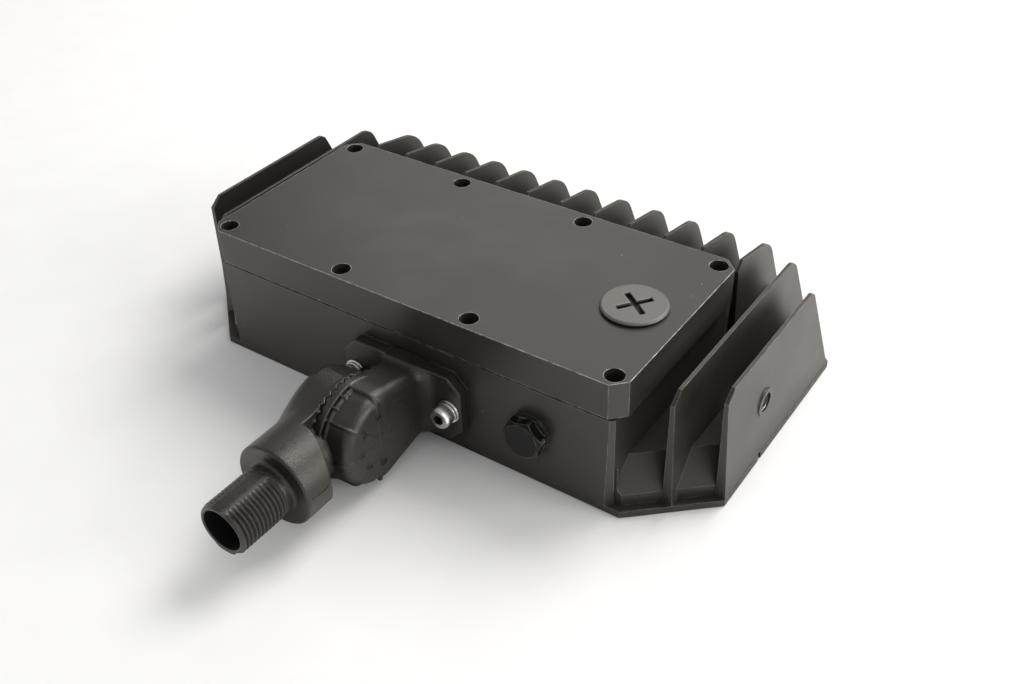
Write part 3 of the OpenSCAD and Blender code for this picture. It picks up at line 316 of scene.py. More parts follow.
def finish(name, dark, light, roughness, metallic=0.0, grain=0.6, peel=0.4, pits=0.0, relief=0.03,
           edge=None, edge_highlight_amount=0.0, specks=0.0, sockets=None, painted_shade_heights=None, deep_shade=0.0):
    """Material with a toned colour, a grained relief, edges lightened as rubbed wear and as painted
    highlight, specks, painted shade of recesses below given heights, and painted shade in deep places.
    roughness is (least, most); relief is the depth of the relief in millimetres;
    the heights for the recess shade are the pair in millimetres between which that painted shade fades out
    upwards."""
    material = bpy.data.materials.new(name)
    material.use_nodes = True
    tree = material.node_tree
    shader = tree.nodes["Principled BSDF"]
    coat_grain = place_group(tree, GRAIN, Grain=grain, Peel=peel, Pits=pits)
    colour = blend_colours(tree, coat_grain.outputs["Tone"], dark, light)
    # Edges lightened towards the edge colour: partly rubbed wear, partly painted highlight
    if edge_highlight_amount:
        rub_and_highlight = place_group(tree, EDGE_SHEEN, Amount=edge_highlight_amount)
        colour = blend_colours(tree, rub_and_highlight.outputs["Mask"], colour, edge)
    if specks:
        dust = place_group(tree, SPECKS, Size=specks)
        colour = blend_colours(tree, dust.outputs["Mask"], colour, DUST_COLOUR)
    # Colour darkened below the given heights as painted shade in recesses
    if painted_shade_heights:
        split = node(tree, "ShaderNodeSeparateXYZ")
        wire(tree, node(tree, "ShaderNodeTexCoord").outputs["Object"], split.inputs[0])
        unshaded = spread(tree, split.outputs["Z"], painted_shade_heights[0] * MM, painted_shade_heights[1] * MM)
        colour = blend_colours(tree, unshaded, RECESS_SHADE_COLOUR, colour)
    gloss = spread(tree, coat_grain.outputs["Tone"], 0.2, 0.8, *roughness)
    # Deep places darkened towards near-black as painted shade, and made rougher
    if deep_shade:
        deep_shade_mask = place_group(tree, DEEP_SHADE, Amount=deep_shade).outputs["Mask"]
        colour = blend_colours(tree, deep_shade_mask, colour, DEEP_SHADE_COLOUR)
        gloss = maths(tree, "ADD", gloss, maths(tree, "MULTIPLY", deep_shade_mask, DEEP_SHADE_ROUGHNESS))
    wire(tree, colour, shader.inputs["Base Color"])
    wire(tree, gloss, shader.inputs["Roughness"])
    shader.inputs["Metallic"].default_value = metallic
    bump = node(tree, "ShaderNodeBump")
    bump.inputs["Strength"].default_value = 1.0
    bump.inputs["Distance"].default_value = relief * MM
    wire(tree, coat_grain.outputs["Height"], bump.inputs["Height"])
    wire(tree, bump.outputs["Normal"], shader.inputs["Normal"])
    for label, value in (sockets or {}).items():
        shader.inputs[label].default_value = value
    return material


def floor_paper():
    """White matt paper of the studio floor."""
    return finish("floor_paper", (0.89, 0.89, 0.89), (0.92, 0.92, 0.92), (0.75, 0.85), relief=0.02)


# Finishes

PLUG_TOP = box_mm("closure_plug")[1][2]
BRONZE_DARK, BRONZE_LIGHT = (0.013, 0.011, 0.0088), (0.021, 0.0178, 0.0145)
CASTING_DARK, CASTING_LIGHT = (0.009, 0.0077, 0.006), (0.018, 0.0153, 0.0122)
SHEEN_TINT = (1.0, 0.955, 0.905, 1.0)
WARM_SHEEN = {"Specular Tint": SHEEN_TINT, "Specular IOR Level": 0.72}
CAST_SHEEN = {"Specular Tint": SHEEN_TINT, "Specular IOR Level": 0.64}
bronze_smooth = finish("bronze_coat_smooth", BRONZE_DARK, BRONZE_LIGHT, (0.34, 0.42), 0.0,
                       grain=0.4, peel=0.5, relief=0.02, edge=(0.26, 0.245, 0.225), edge_highlight_amount=0.8,
                       specks=0.04, deep_shade=1.0, sockets=WARM_SHEEN)
# The cover's edges get a bright painted highlight line
bronze_cover = finish("bronze_coat_cover", BRONZE_DARK, BRONZE_LIGHT, (0.34, 0.42), 0.0,
                      grain=0.4, peel=0.5, relief=0.02, edge=(0.7, 0.67, 0.63), edge_highlight_amount=1.0,
                      specks=0.045, deep_shade=1.0, sockets=WARM_SHEEN)
bronze_cast = finish("bronze_coat_cast", CASTING_DARK, CASTING_LIGHT, (0.24, 0.36), 0.0,
                     grain=0.8, peel=0.6, pits=0.3, relief=0.07, edge=(0.14, 0.13, 0.12),
                     edge_highlight_amount=0.5, specks=0.04, deep_shade=1.0, sockets=CAST_SHEEN)
# Near-black material for the stub's bore, as painted shade of its deep hollow
bore_painted_shade = finish("bore_painted_shade", (0.002, 0.002, 0.002), (0.004, 0.004, 0.0035), (0.7, 0.85), 0.0,
                    grain=1.0, relief=0.03, sockets={"Specular IOR Level": 0.15})
# The plug's coat is darkened under its top as painted shade in its slots and round the foot of its flange
plug_coat = finish("plug_coat", (0.125, 0.116, 0.106), (0.155, 0.145, 0.133), (0.34, 0.44), 0.25,
                   grain=0.3, peel=0.3, relief=0.012, edge=(0.5, 0.48, 0.45), edge_highlight_amount=0.6,
                   painted_shade_heights=(PLUG_TOP - 1.2, PLUG_TOP - 0.6))
stainless = finish("stainless_steel", (0.66, 0.65, 0.63), (0.86, 0.85, 0.83), (0.12, 0.26), 1.0,
                   grain=0.4, peel=0.2, relief=0.01)
# The vent's edges get painted glints
black_nylon = finish("black_nylon", (0.003, 0.003, 0.003), (0.006, 0.006, 0.0055), (0.24, 0.36), 0.0,
                     grain=0.7, peel=0.4, relief=0.015, edge=(0.3, 0.29, 0.28), edge_highlight_amount=0.8,
                     sockets={"Specular IOR Level": 0.22})
black_rubber = finish("black_rubber", (0.010, 0.010, 0.010), (0.020, 0.020, 0.019), (0.7, 0.85),
                      grain=1.0, peel=0.4, relief=0.03)
grey_silicone = finish("grey_silicone", (0.26, 0.26, 0.25), (0.34, 0.34, 0.33), (0.5, 0.65),
                       grain=0.5, peel=0.5, relief=0.02)
white_film = finish("white_film", (0.7, 0.7, 0.68), (0.82, 0.82, 0.8), (0.55, 0.7), grain=1.0)
tempered_glass = finish("tempered_glass", (0.93, 0.95, 0.95), (0.97, 0.99, 0.98), (0.02, 0.05),
                        grain=0.1, peel=0.4, relief=0.002,
                        sockets={"Transmission Weight": 1.0, "IOR": 1.5})
white_mask = finish("white_solder_mask", (0.72, 0.72, 0.69), (0.80, 0.80, 0.77), (0.3, 0.42),
                    grain=0.3, peel=0.6, relief=0.01)
phosphor = finish("chip_phosphor", (0.78, 0.55, 0.07), (0.90, 0.68, 0.13), (0.3, 0.45), grain=0.8,
                  relief=0.02)
bright_reflector = finish("bright_reflector", (0.80, 0.80, 0.80), (0.88, 0.88, 0.88),
                          (0.12, 0.2), 1.0, grain=0.2, peel=0.5, relief=0.01)
driver_paint = finish("driver_case_paint", (0.60, 0.60, 0.57), (0.68, 0.68, 0.65), (0.4, 0.5),
                      grain=0.6, relief=0.02)
block_nylon = finish("block_nylon", (0.62, 0.62, 0.58), (0.72, 0.72, 0.68), (0.4, 0.55), grain=0.6)
red_wire = finish("red_wire_sleeve", (0.30, 0.02, 0.02), (0.40, 0.03, 0.03), (0.4, 0.55), grain=0.5)
dark_wire = finish("dark_wire_sleeve", (0.02, 0.02, 0.02), (0.04, 0.04, 0.04), (0.4, 0.55), grain=0.5)
green_wire = finish("green_wire_sleeve", (0.04, 0.20, 0.04), (0.07, 0.28, 0.06), (0.4, 0.55),
                    grain=0.5)
# Dark material for the screws' hexagon sockets, as painted shade inside them
socket_painted_shade = finish("socket_painted_shade", (0.010, 0.010, 0.009), (0.03, 0.03, 0.028), (0.4, 0.55), 0.6)
bare_thread = finish("bare_thread", (0.20, 0.19, 0.18), (0.42, 0.41, 0.39), (0.25, 0.4), 0.9,
                     grain=0.6, peel=0.2, relief=0.01)
brass = finish("brass", (0.55, 0.38, 0.14), (0.68, 0.48, 0.20), (0.2, 0.32), 1.0, relief=0.01)

NODE_FINISH = {
    "housing": bronze_smooth, "rear_cover": bronze_cover, "lens_frame": bronze_smooth,
    "knuckle_base": bronze_cast, "knuckle_arm": bronze_cast, "closure_plug": plug_coat,
    "cover_gasket": black_rubber, "plug_seal": black_rubber, "vent_seal": black_rubber,
    "flange_gasket": black_rubber, "pivot_seal": black_rubber, "lead_grommet": black_rubber,
    "breather_vent": black_nylon, "vent_membrane": white_film, "lens_glass": tempered_glass,
    "lens_gasket": grey_silicone, "thermal_pad": grey_silicone, "led_board": white_mask,
    "led_chips": phosphor, "reflector": bright_reflector, "led_connector": white_mask,
    "led_leads": red_wire, "driver": driver_paint, "terminal_block": block_nylon,
    "driver_leads": dark_wire, "earth_lead": green_wire, "earth_screw": brass,
}


# Edges of the carried-over solids

# Widths of the rounded edges in millimetres; a node that isn't named keeps its plain edges
EDGE_WIDTHS = {
    "housing": 0.25, "rear_cover": 0.18, "closure_plug": 0.2, "breather_vent": 0.2,
    "lens_frame": 0.3, "flange_washers": 0.12, "flange_spring_washers": 0.12,
}
EDGE_SEGMENTS, EDGE_DEGREES = 2, 28
WELD_MM, FLAT_DEGREES = 0.002, 0.4
FACE_WEIGHT = 80


def round_edges(piece, width_mm):
    """Joins a solid's flat faces again and rounds its edges by width_mm."""
    weld = piece.modifiers.new("weld", "WELD")
    weld.merge_threshold = WELD_MM * MM
    flat = piece.modifiers.new("flat_faces", "DECIMATE")
    flat.decimate_type = "DISSOLVE"
    flat.angle_limit = math.radians(FLAT_DEGREES)
    bevel = piece.modifiers.new("edges", "BEVEL")
    bevel.width = width_mm * MM
    bevel.segments = EDGE_SEGMENTS
    bevel.limit_method = "ANGLE"
    bevel.angle_limit = math.radians(EDGE_DEGREES)
    bevel.use_clamp_overlap = True
    bevel.harden_normals = False
    normals = piece.modifiers.new("normals", "WEIGHTED_NORMAL")
    normals.keep_sharp = True
    normals.weight = FACE_WEIGHT


def dress_node(name):
    """Sets a node's finish, and rounds its edges where EDGE_WIDTHS names it."""
    piece = frame["nodes"][name]
    piece.data.materials.clear()
    piece.data.materials.append(NODE_FINISH.get(name, stainless))
    for face in piece.data.polygons:
        face.material_index = 0
    if name in EDGE_WIDTHS:
        round_edges(piece, EDGE_WIDTHS[name])


# Own shapes


def own_piece(name, points, faces, material, body, smooth=True):
    """Mesh object from points in millimetres of the shared frame, riding on a body."""
    mesh = bpy.data.meshes.new(name)
    mesh.from_pydata([tuple(c * MM for c in point) for point in points], [], faces)
    mesh.materials.append(material)
    mesh.polygons.foreach_set("use_smooth", [smooth] * len(mesh.polygons))
    mesh.update()
    piece = bpy.data.objects.new(name, mesh)
    bpy.context.scene.collection.objects.link(piece)
    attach(piece, body)
    return piece


def ring_faces(rings, count):
    """Faces between successive rings of count points each."""
    faces = []
    for j in range(rings - 1):
        for i in range(count):
            k = (i + 1) % count
            faces.append((j * count + i, (j + 1) * count + i, (j + 1) * count + k, j * count + k))
    return faces


def blend_min(a, b, k):
    """Union of two distance fields with a fillet of about k."""
    h = np.clip(0.5 + 0.5 * (b - a) / k, 0, 1)
    return b + (a - b) * h - k * h * (1 - h)


def blend_max(a, b, k):
    """Intersection of two distance fields with an edge rounded by about k."""
    return -blend_min(-a, -b, k)


def rounded_disc(r, along, radius, half, edge):
    """Distance to a disc of a radius and half length with rounded edges."""
    q0, q1 = r - (radius - edge), np.abs(along) - (half - edge)
    return np.hypot(np.maximum(q0, 0), np.maximum(q1, 0)) + np.minimum(np.maximum(q0, q1), 0) - edge


def crossed_edges(values, axis):
    """Grid edges along an axis: which the surface crosses, how far along, and which start inside."""
    head, tail = [slice(None)] * 3, [slice(None)] * 3
    head[axis], tail[axis] = slice(None, -1), slice(1, None)
    a, b = values[tuple(head)], values[tuple(tail)]
    crossed = (a < 0) != (b < 0)
    part = np.where(crossed, a / np.where(crossed, a - b, 1), 0)
    return crossed, part, a < 0


def cell_points(shape, edges):
    """Mean place of the crossings on each cell's edges, counted in cells, and the points' numbers."""
    count = np.zeros(shape, np.float32)
    total = np.zeros(shape + (3,), np.float32)
    for axis, (crossed, part, _) in enumerate(edges):
        one, two = [k for k in range(3) if k != axis]
        for near in (0, 1):
            for far in (0, 1):
                pick = [slice(None)] * 3
                pick[one] = slice(near, near + shape[one])
                pick[two] = slice(far, far + shape[two])
                here = crossed[tuple(pick)]
                count += here
                total[..., axis] += part[tuple(pick)]
                total[..., one] += near * here
                total[..., two] += far * here
    used = count > 0
    numbers = np.full(shape, -1, np.int64)
    numbers[used] = np.arange(used.sum())
    return np.argwhere(used) + total[used] / count[used][:, None], numbers


def cell_faces(numbers, edges):
    """One face for each crossed edge, between the points of the four cells round it."""
    faces = []
    for axis, (crossed, _, starts_inside) in enumerate(edges):
        one, two = (axis + 1) % 3, (axis + 2) % 3
        where = np.argwhere(crossed)
        where = where[(where[:, one] > 0) & (where[:, two] > 0)
                      & (where[:, one] < numbers.shape[one]) & (where[:, two] < numbers.shape[two])]
        corners = []
        for back_one, back_two in ((1, 1), (0, 1), (0, 0), (1, 0)):
            spot = where.copy()
            spot[:, one] -= back_one
            spot[:, two] -= back_two
            corners.append(numbers[tuple(spot.T)])
        quad = np.stack(corners, 1)
        flip = ~starts_inside[tuple(where.T)]
        quad[flip] = quad[flip][:, ::-1]
        faces.append(quad)
    return np.concatenate(faces)


PROBE_MM = 0.02
LEAST_SLOPE = 0.25
LONGEST_PULL = 0.3


def pull_to_surface(field, points, step):
    """Points moved along the field's slope, twice, on to its surface."""
    for _ in range(2):
        here = field(*points.T)
        slope = np.stack([field(*(points + PROBE_MM * way).T) - field(*(points - PROBE_MM * way).T)
                          for way in np.eye(3)], 1) / (2 * PROBE_MM)
        size = np.maximum((slope ** 2).sum(1), LEAST_SLOPE)
        pull = np.clip(here / size, -LONGEST_PULL * step, LONGEST_PULL * step)
        points = points - slope * pull[:, None]
    return points


def cast_shape(name, field, low, high, step, material, body):
    """Smooth mesh of a distance field between two corners, in millimetres."""
    axes = [np.arange(a, b + step, step) for a, b in zip(low, high)]
    values = field(axes[0][:, None, None], axes[1][None, :, None], axes[2][None, None, :])
    values = np.broadcast_to(values, [len(a) for a in axes]).astype(np.float32)
    edges = [crossed_edges(values, axis) for axis in range(3)]
    cells, numbers = cell_points(tuple(n - 1 for n in values.shape), edges)
    quads = cell_faces(numbers, edges)
    points = pull_to_surface(field, cells * step + np.array(low), step)
    mesh = bpy.data.meshes.new(name)
    mesh.vertices.add(len(points))
    mesh.vertices.foreach_set("co", (points * MM).ravel())
    mesh.loops.add(4 * len(quads))
    mesh.loops.foreach_set("vertex_index", quads.ravel())
    mesh.polygons.add(len(quads))
    mesh.polygons.foreach_set("loop_start", np.arange(0, 4 * len(quads), 4))
    mesh.materials.append(material)
    mesh.update(calc_edges=True)
    mesh.validate()
    mesh.polygons.foreach_set("use_smooth", [True] * len(mesh.polygons))
    piece = bpy.data.objects.new(name, mesh)
    bpy.context.scene.collection.objects.link(piece)
    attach(piece, body)
    return piece


# Sizes of the knuckle in millimetres

HUB = [round(c / MM, 3) for c in frame["joints"][0]["pos_m"]]
BASE_LOW, BASE_HIGH = box_mm("knuckle_base")
ARM_LOW = box_mm("knuckle_arm")[0]

# Lowest and highest corner of each casting's grid, which reaches just past the casting
BASE_GRID = (-24.6, -82.5, 0.8), (34.4, -28.6, 44.2)
ARM_GRID = (-17.6, -105.2, 0.8), (18.2, -39.0, 44.2)
GRID_STEP = 0.4

# Teeth between the two drum halves, and the raised band round them
TEETH, TOOTH_HALF, TOOTH_INNER_R, TOOTH_OUTER_R = 36, 0.75, 17.4, 22
SEAM_HALF_GAP, SEAM_CUT_R = 0.14, 28
BAND_R = (BASE_HIGH[2] - BASE_LOW[2]) / 2
BASE_BAND, ARM_BAND = 3.4, 1.7

# Base's drum half with its degree ribs, ring, ticks and lug
BASE_R, BASE_LENGTH, BASE_RIM = 20.2, 16, 4.4
SUNK_R, SUNK_RIM, FULL_FROM = 19.3, 4.2, -0.4
RIB_STEP, RIB_HALF = 45, 0.5
RING_MIDDLE, RING_HALF, RING_R = 4.7, 0.5, 20.25
TICK_TURNS, TICK_HALF, TICK_REACH, TICK_R = (15, 30), 0.4, 1.1, 20.75
LUG_PLACE, LUG_R = (13.7, -1.2, -20.1), 1.0

# Base's neck and flange
NECK_DEGREES, NECK_REACH = 77.9, 29
FLANGE_MIDDLE = (BASE_HIGH[0] + BASE_LOW[0]) / 2 - HUB[0]
FLANGE_HALF_L = (BASE_HIGH[0] - BASE_LOW[0]) / 2
FLANGE_FACE = BASE_HIGH[1] - HUB[1]
FLANGE_HALF_H, FLANGE_CORNER, FLANGE_T = 15.1, 5.9, 4.4

# Arm's drum half and collar
ARM_R, ARM_LENGTH, ARM_RIM = 20.0, 17, 5.5
ARM_OUTER_FACE = -17.8
COLLAR_R, COLLAR_REACH, COLLAR_EDGE = 17.1, 40.2, 1.1
PIVOT_SEAT_R, PIVOT_SEAT_FLOOR = 7.5, -10.4

# Threaded stub
STUB_OFF = -0.7
STUB_X, COLLAR_Y = HUB[0] + STUB_OFF, HUB[1] - COLLAR_REACH
STUB_LENGTH, STUB_SIDES = round(COLLAR_Y - ARM_LOW[1], 3), 240
STUB_PLAIN, STUB_ROOT_R, STUB_ROOT_END = 3.6, 10.17, 3.4
BORE_R, BORE_DEPTH = 8.3, 7.5
THREAD_PITCH, THREAD_CREST_R, THREAD_FOOT_R = 1.814, 10.67, 9.57
THREAD_RUN_IN, THREAD_RUN_OUT = 1.2, 0.9
# Smooth strips along the stub's top and bottom: radius, half height, and the degrees at which the thread
# starts beside them and those in which it grows
STRIP_R, STRIP_HALF_HEIGHT = 10.2, 10.05
SOFT_START, SOFT_GROWTH, SHARP_START, SHARP_GROWTH = 20, 15, 25, 3


# Knuckle castings

def hub_frame(x, y, z):
    """Places about the hub: right of the seam, towards the housing, upwards, radius from the tilt axis,
    and turn in degrees from upright towards the stub."""
    u, v, w = x - HUB[0], y - HUB[1], z - HUB[2]
    return u, v, w, np.hypot(v, w), np.degrees(np.arctan2(-v, w))


def tooth_wave(turn):
    """Height of the seam's zigzag at a turn about the hub."""
    phase = turn * TEETH / 360
    return TOOTH_HALF * (2 * np.abs(2 * (phase - np.floor(phase)) - 1) - 1)


def base_drum(u, v, w, r, turn):
    """Field of the base's drum half: sunk between its ribs, and full on the housing's side."""
    full = rounded_disc(r, u, BASE_R, BASE_LENGTH, BASE_RIM)
    sunk = rounded_disc(r, u, SUNK_R, BASE_LENGTH, SUNK_RIM)
    off_rib = np.abs(np.radians(turn - RIB_STEP * np.round(turn / RIB_STEP))) * r - RIB_HALF
    drum = blend_min(sunk, blend_max(full, off_rib, 0.3), 0.5)
    drum = blend_min(drum, blend_max(full, FULL_FROM - v, 0.4), 0.4)
    off_ring = np.abs(u - RING_MIDDLE)
    drum = blend_min(drum, np.maximum(off_ring - RING_HALF, r - RING_R), 0.45)
    for tick in TICK_TURNS:
        mark = np.maximum(np.abs(np.radians(turn - tick)) * r - TICK_HALF, off_ring - TICK_REACH)
        drum = blend_min(drum, np.maximum(mark, r - TICK_R), 0.4)
    drum = blend_min(drum, blend_max(r - BAND_R, np.abs(u) - BASE_BAND, 0.7), 0.3)
    lug = np.sqrt((u - LUG_PLACE[0]) ** 2 + (v - LUG_PLACE[1]) ** 2 + (w - LUG_PLACE[2]) ** 2) - LUG_R
    return blend_min(drum, lug, 0.4)


def base_neck(u, v, w):
    """Field of the neck, whose top and bottom draw together from the drum to the flange."""
    lean = math.radians(NECK_DEGREES)
    side = v * math.cos(lean) + np.abs(w) * math.sin(lean) - BASE_R
    plan = np.maximum(side, np.maximum(-v, v - NECK_REACH))
    return rounded_disc(plan, u, 0, BASE_LENGTH, BASE_RIM)


def base_flange(u, v, w):
    """Field of the flange, with its corners cut."""
    across, up = np.abs(u - FLANGE_MIDDLE), np.abs(w)
    corner = (across + up - (FLANGE_HALF_L + FLANGE_HALF_H - FLANGE_CORNER)) / math.sqrt(2)
    plate = np.maximum(np.maximum(across - FLANGE_HALF_L, up - FLANGE_HALF_H), corner)
    return blend_max(plate, np.abs(v - (FLANGE_FACE - FLANGE_T / 2)) - FLANGE_T / 2, 0.7)


def base_field(x, y, z):
    """Field of the whole base: drum, neck, teeth and flange."""
    u, v, w, r, turn = hub_frame(x, y, z)
    teeth = np.where(r > TOOTH_INNER_R, tooth_wave(turn), 0)
    drum_and_neck = blend_min(base_drum(u, v, w, r, turn), base_neck(u, v, w), 0.8)
    shape = np.maximum(drum_and_neck, teeth + SEAM_HALF_GAP - u)
    return np.maximum(blend_min(shape, base_flange(u, v, w), 6.5), v - FLANGE_FACE)


def arm_field(x, y, z):
    """Field of the arm: drum half, collar and the stub's root, with the bore and the pivot's seat."""
    u, v, w, r, turn = hub_frame(x, y, z)
    off_stub = np.hypot(u - STUB_OFF, w)
    drum = rounded_disc(r, u, ARM_R, ARM_LENGTH, ARM_RIM)
    collar = np.maximum(rounded_disc(off_stub, v, COLLAR_R, COLLAR_REACH, COLLAR_EDGE), v)
    shape = blend_max(blend_min(drum, collar, 7), ARM_OUTER_FACE - u, 0.8)
    shape = blend_min(shape, blend_max(r - BAND_R, np.abs(u) - ARM_BAND, 0.5), 0.4)
    teeth = np.where((r > TOOTH_INNER_R) & (r < TOOTH_OUTER_R), tooth_wave(turn), 0)
    shape = blend_max(shape, -np.maximum(teeth - SEAM_HALF_GAP - u, r - SEAM_CUT_R), 0.35)
    root = blend_max(off_stub - STUB_ROOT_R, -v - (COLLAR_REACH + STUB_ROOT_END), 0.2)
    shape = blend_min(shape, np.maximum(root, v), 1.5)
    bore = np.maximum(off_stub - BORE_R, v + (COLLAR_REACH - BORE_DEPTH))
    seat = np.maximum(r - PIVOT_SEAT_R, u - PIVOT_SEAT_FLOOR)
    return np.maximum(np.maximum(shape, -bore), -seat)


def make_knuckle():
    """The two castings in place of the CAD's."""
    base = cast_shape("knuckle_base_casting", base_field, *BASE_GRID, GRID_STEP, bronze_cast, "light")
    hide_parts("knuckle_base")
    arm = cast_shape("knuckle_arm_casting", arm_field, *ARM_GRID, GRID_STEP, bronze_cast, "arm")
    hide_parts("knuckle_arm")


def stub_radius(turn, along):
    """Outer radius of the stub at a turn about its axis and a length from the collar. The thread leaves
    a smooth strip at the top and bottom, where the mould's halves met, with one soft and one sharp side."""
    phase = along / THREAD_PITCH - turn / (2 * np.pi)
    phase = phase - np.floor(phase)
    tooth = np.clip((0.5 - np.abs(phase - 0.5)) * 2.4 - 0.14, 0, 1)
    fade = (np.clip((along - STUB_PLAIN) / THREAD_RUN_IN, 0, 1)
            * np.clip((STUB_LENGTH - along) / THREAD_RUN_OUT, 0, 1))
    radius = THREAD_FOOT_R + (THREAD_CREST_R - THREAD_FOOT_R) * tooth * fade
    off_line = np.degrees(np.arcsin(np.abs(np.cos(turn))))
    soft = np.clip((off_line - SOFT_START) / SOFT_GROWTH, 0, 1)
    sharp = np.clip((off_line - SHARP_START) / SHARP_GROWTH, 0, 1)
    threaded = np.where(np.cos(turn) * np.sin(turn) > 0, soft, sharp)
    strip = np.minimum(STRIP_R, STRIP_HALF_HEIGHT / np.cos(np.radians(np.minimum(off_line, 60))))
    radius = strip + (radius - strip) * threaded
    return np.where(along < STUB_PLAIN, STUB_ROOT_R, radius)


def make_stub():
    """The stub's thread, its mouth and the wall of its bore."""
    turns = np.linspace(0, 2 * np.pi, STUB_SIDES, endpoint=False)
    lengths = np.concatenate([[2.6], np.arange(3.2, 25.6, 0.15), [25.55, STUB_LENGTH]])
    rings = [(length, stub_radius(turns, length)) for length in lengths]
    mouth = [(STUB_LENGTH, 9.1), (25.4, 8.55), (24.9, BORE_R), (0, BORE_R), (-6.5, BORE_R)]
    rings += [(length, np.full_like(turns, radius)) for length, radius in mouth]
    points = [(STUB_X + radius * math.cos(t), COLLAR_Y - length, HUB[2] + radius * math.sin(t))
              for length, ring in rings for t, radius in zip(turns, ring)]
    faces = ring_faces(len(rings), len(turns))
    first_bore_face = len(faces) - (len(mouth) - 2) * len(turns)
    # The bore's wall carries the near-black painted shade
    own_piece("stub_bore_wall", points, faces[first_bore_face:], bore_painted_shade, "arm")
    own_piece("threaded_stub", points, faces[:first_bore_face], bronze_cast, "arm")


# Degree numbers and tilt pointer

BAR_DEPTH, BAR_FOOT, BAR_CREST = 0.3, 1.3, 0.6
NUMBER_TALL, NUMBER_WIDE, NUMBER_PITCH, NUMBER_FOOT_R = 2.2, 1.25, 1.75, 9.9
NUMBER_BAR, NUMBER_RISE = 0.36, 0.42
NUMBER_TURNS = {0: "90", 45: "45", 90: "0", 135: "45", 180: "90"}
POINTER_BAR, POINTER_RISE, POINTER_SUNK = 0.4, 0.4, 0.02

# Strokes of each digit in a box one wide and one tall
DIGITS = {
    "0": [(0.5, 1), (0.15, 0.85), (0, 0.5), (0.15, 0.15), (0.5, 0), (0.85, 0.15), (1, 0.5),
          (0.85, 0.85), (0.5, 1)],
    "9": [(1, 0.7), (0.8, 0.45), (0.25, 0.42), (0, 0.7), (0.2, 0.97), (0.75, 1), (1, 0.7), (0.9, 0.3),
          (0.5, 0)],
    "4": [(0.75, 0), (0.75, 1), (0, 0.32), (1, 0.32)],
    "5": [(0.9, 1), (0.15, 1), (0.1, 0.55), (0.6, 0.62), (0.95, 0.32), (0.6, 0.02), (0, 0.1)],
}

# Pointer's path in millimetres from the collar's mouth and round the collar from its right side
POINTER_PATH = [(2.7, 0.8), (4.3, 0.3), (6.3, 0.35), (7.5, -0.1), (8.9, 0.1), (10.7, 1.3)]


def add_stroke(points, faces, path, width, height, place):
    """Adds a raised line along a path in (a, b), put in the frame by place(a, b, lift)."""
    for (a0, b0), (a1, b1) in zip(path, path[1:]):
        run = math.hypot(a1 - a0, b1 - b0)
        ua, ub = (a1 - a0) / run, (b1 - b0) / run
        na, nb = -ub * width / 2, ua * width / 2
        start = (a0 - ua * width / 3, b0 - ub * width / 3)
        end = (a1 + ua * width / 3, b1 + ub * width / 3)
        first = len(points)
        for lift, share in ((-BAR_DEPTH, BAR_FOOT), (height, BAR_CREST)):
            for (a, b), side in ((start, 1), (end, 1), (end, -1), (start, -1)):
                points.append(place(a + side * na * share, b + side * nb * share, lift))
        faces += [tuple(first + k for k in face) for face in
                  ((4, 5, 6, 7), (0, 1, 5, 4), (1, 2, 6, 5), (2, 3, 7, 6), (3, 0, 4, 7))]


def dial_place(turn):
    """Function that puts (a, b, lift) on the drum's outer face: a along a number, b up from its foot."""
    sine, cosine = math.sin(math.radians(turn)), math.cos(math.radians(turn))

    def place(a, b, lift):
        """Point of the number at this turn."""
        r = NUMBER_FOOT_R + b
        return HUB[0] + BASE_LENGTH + lift, HUB[1] - sine * r + cosine * a, HUB[2] + cosine * r + sine * a

    return place


def collar_place(a, b, lift):
    """Point at a from the collar's mouth and b round the collar."""
    r = COLLAR_R - POINTER_SUNK + lift
    return STUB_X + r * math.cos(b / r), COLLAR_Y + a, HUB[2] + r * math.sin(b / r)


def make_degree_marks():
    """Degree numbers on the base's drum, and the pointer on the arm's collar."""
    points, faces = [], []
    for turn, label in NUMBER_TURNS.items():
        start = -NUMBER_PITCH * (len(label) - 1) / 2 - NUMBER_WIDE / 2
        for column, digit in enumerate(label):
            path = [(start + NUMBER_PITCH * column + a * NUMBER_WIDE, b * NUMBER_TALL)
                    for a, b in DIGITS[digit]]
            add_stroke(points, faces, path, NUMBER_BAR, NUMBER_RISE, dial_place(turn))
    own_piece("degree_numbers", points, faces, bronze_cast, "light", smooth=False)
    points, faces = [], []
    add_stroke(points, faces, POINTER_PATH, POINTER_BAR, POINTER_RISE, collar_place)
    own_piece("tilt_pointer", points, faces, bronze_cast, "arm", smooth=False)


# Flange screws

SCREW_LOW, SCREW_HIGH = box_mm("flange_screws")
SCREW_SEAT = box_mm("flange_spring_washers")[0][1]
SCREW_HALF = (SCREW_HIGH[2] - SCREW_LOW[2]) / 2
HEAD_SIDES, HEAD_HEIGHT = 96, 5.0
# Radius, height and depth of the knurling of each ring of the head
HEAD_RINGS = [(4.0, 0, 0), (4.2, 0.25, 0.09), (4.2, 4.2, 0.09), (3.75, HEAD_HEIGHT, 0),
              (3.6, HEAD_HEIGHT, 0)]
# Height and half width of each ring of the socket
SOCKET_RINGS = [(HEAD_HEIGHT, 2.3), (4.85, 2.2), (2.4, 2.2)]
SCREW_TURNS = {"left": 0.2, "right": 0.9}


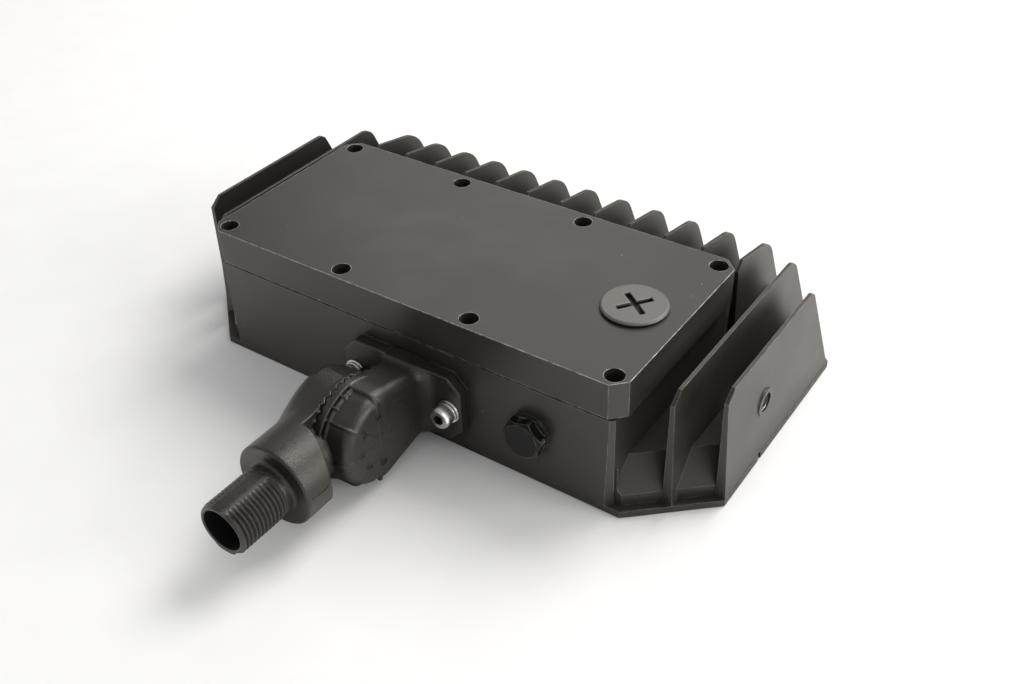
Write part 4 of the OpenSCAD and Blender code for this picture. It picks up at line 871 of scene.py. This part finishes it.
def screw_head():
    """Points of a knurled head standing on height 0, the head's faces and its hexagon socket's faces."""
    turns = [2 * math.pi * i / HEAD_SIDES for i in range(HEAD_SIDES)]
    points = []
    for radius, height, knurl in HEAD_RINGS:
        for i, turn in enumerate(turns):
            r = radius + (knurl if i % 2 else -knurl)
            points.append((r * math.cos(turn), r * math.sin(turn), height))
    for height, half_width in SOCKET_RINGS:
        for turn in turns:
            corner = math.radians((math.degrees(turn) % 60) - 30)
            r = half_width * math.cos(math.radians(30)) / math.cos(corner)
            points.append((r * math.cos(turn), r * math.sin(turn), height))
    faces = [(a, d, c, b) for a, b, c, d in ring_faces(len(HEAD_RINGS) + len(SOCKET_RINGS), HEAD_SIDES)]
    first_socket_face = len(HEAD_RINGS) * HEAD_SIDES
    floor = tuple(range(len(points) - HEAD_SIDES, len(points)))
    return points, faces[:first_socket_face], faces[first_socket_face:] + [floor]


def make_flange_screws():
    """Two socket head screws in the flange."""
    points, head, socket = screw_head()
    for side, x in (("left", SCREW_LOW[0] + SCREW_HALF), ("right", SCREW_HIGH[0] - SCREW_HALF)):
        sine, cosine = math.sin(SCREW_TURNS[side]), math.cos(SCREW_TURNS[side])
        turned = [(x + a * cosine - b * sine, SCREW_SEAT - height, HUB[2] + a * sine + b * cosine)
                  for a, b, height in points]
        # The sockets take the dark painted shade
        own_piece("flange_screw_socket_" + side, turned, socket, socket_painted_shade, "light", smooth=False)
        piece = own_piece("flange_screw_" + side, turned, head, stainless, "light")
        sharp = piece.modifiers.new("edges", "EDGE_SPLIT")
        sharp.split_angle = math.radians(35)
    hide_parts("flange_screws")


# Tapped holes

COVER_LOW, COVER_HIGH = box_mm("rear_cover")
HOLE_SIDES, HOLE_PITCH, HOLE_START, HOLE_END = 64, 1.25, 122.9, 129.5
HOLE_Y, HOLE_Z = (COVER_LOW[1] + COVER_HIGH[1]) / 2 + 11.6, 27.2
HOLE_R, HOLE_THREAD_DEPTH = 3.96, 0.62


def make_tapped_holes():
    """Turns of thread in the two trunnion holes of the end fins."""
    lengths = np.arange(HOLE_START, HOLE_END, HOLE_PITCH / 10)
    for side, name in ((1, "right"), (-1, "left")):
        points = []
        for length in lengths:
            for i in range(HOLE_SIDES):
                phase = (length / HOLE_PITCH - side * i / HOLE_SIDES) % 1
                r = HOLE_R - HOLE_THREAD_DEPTH * max(0.0, min(1.0, (0.5 - abs(phase - 0.5)) * 2.6 - 0.1))
                turn = 2 * math.pi * i / HOLE_SIDES
                points.append((side * length, HOLE_Y + r * math.cos(turn), HOLE_Z + r * math.sin(turn)))
        faces = ring_faces(len(lengths), HOLE_SIDES)
        if side < 0:
            faces = [face[::-1] for face in faces]
        own_piece("trunnion_thread_" + name, points, faces, bare_thread, "light")


# The whole light

make_camera()
make_studio()
make_floor()
for node_name in frame["nodes"]:
    dress_node(node_name)
make_knuckle()
make_stub()
make_degree_marks()
make_flange_screws()
make_tapped_holes()

[[list(corner) for corner in box] for box in (cad_box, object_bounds())]
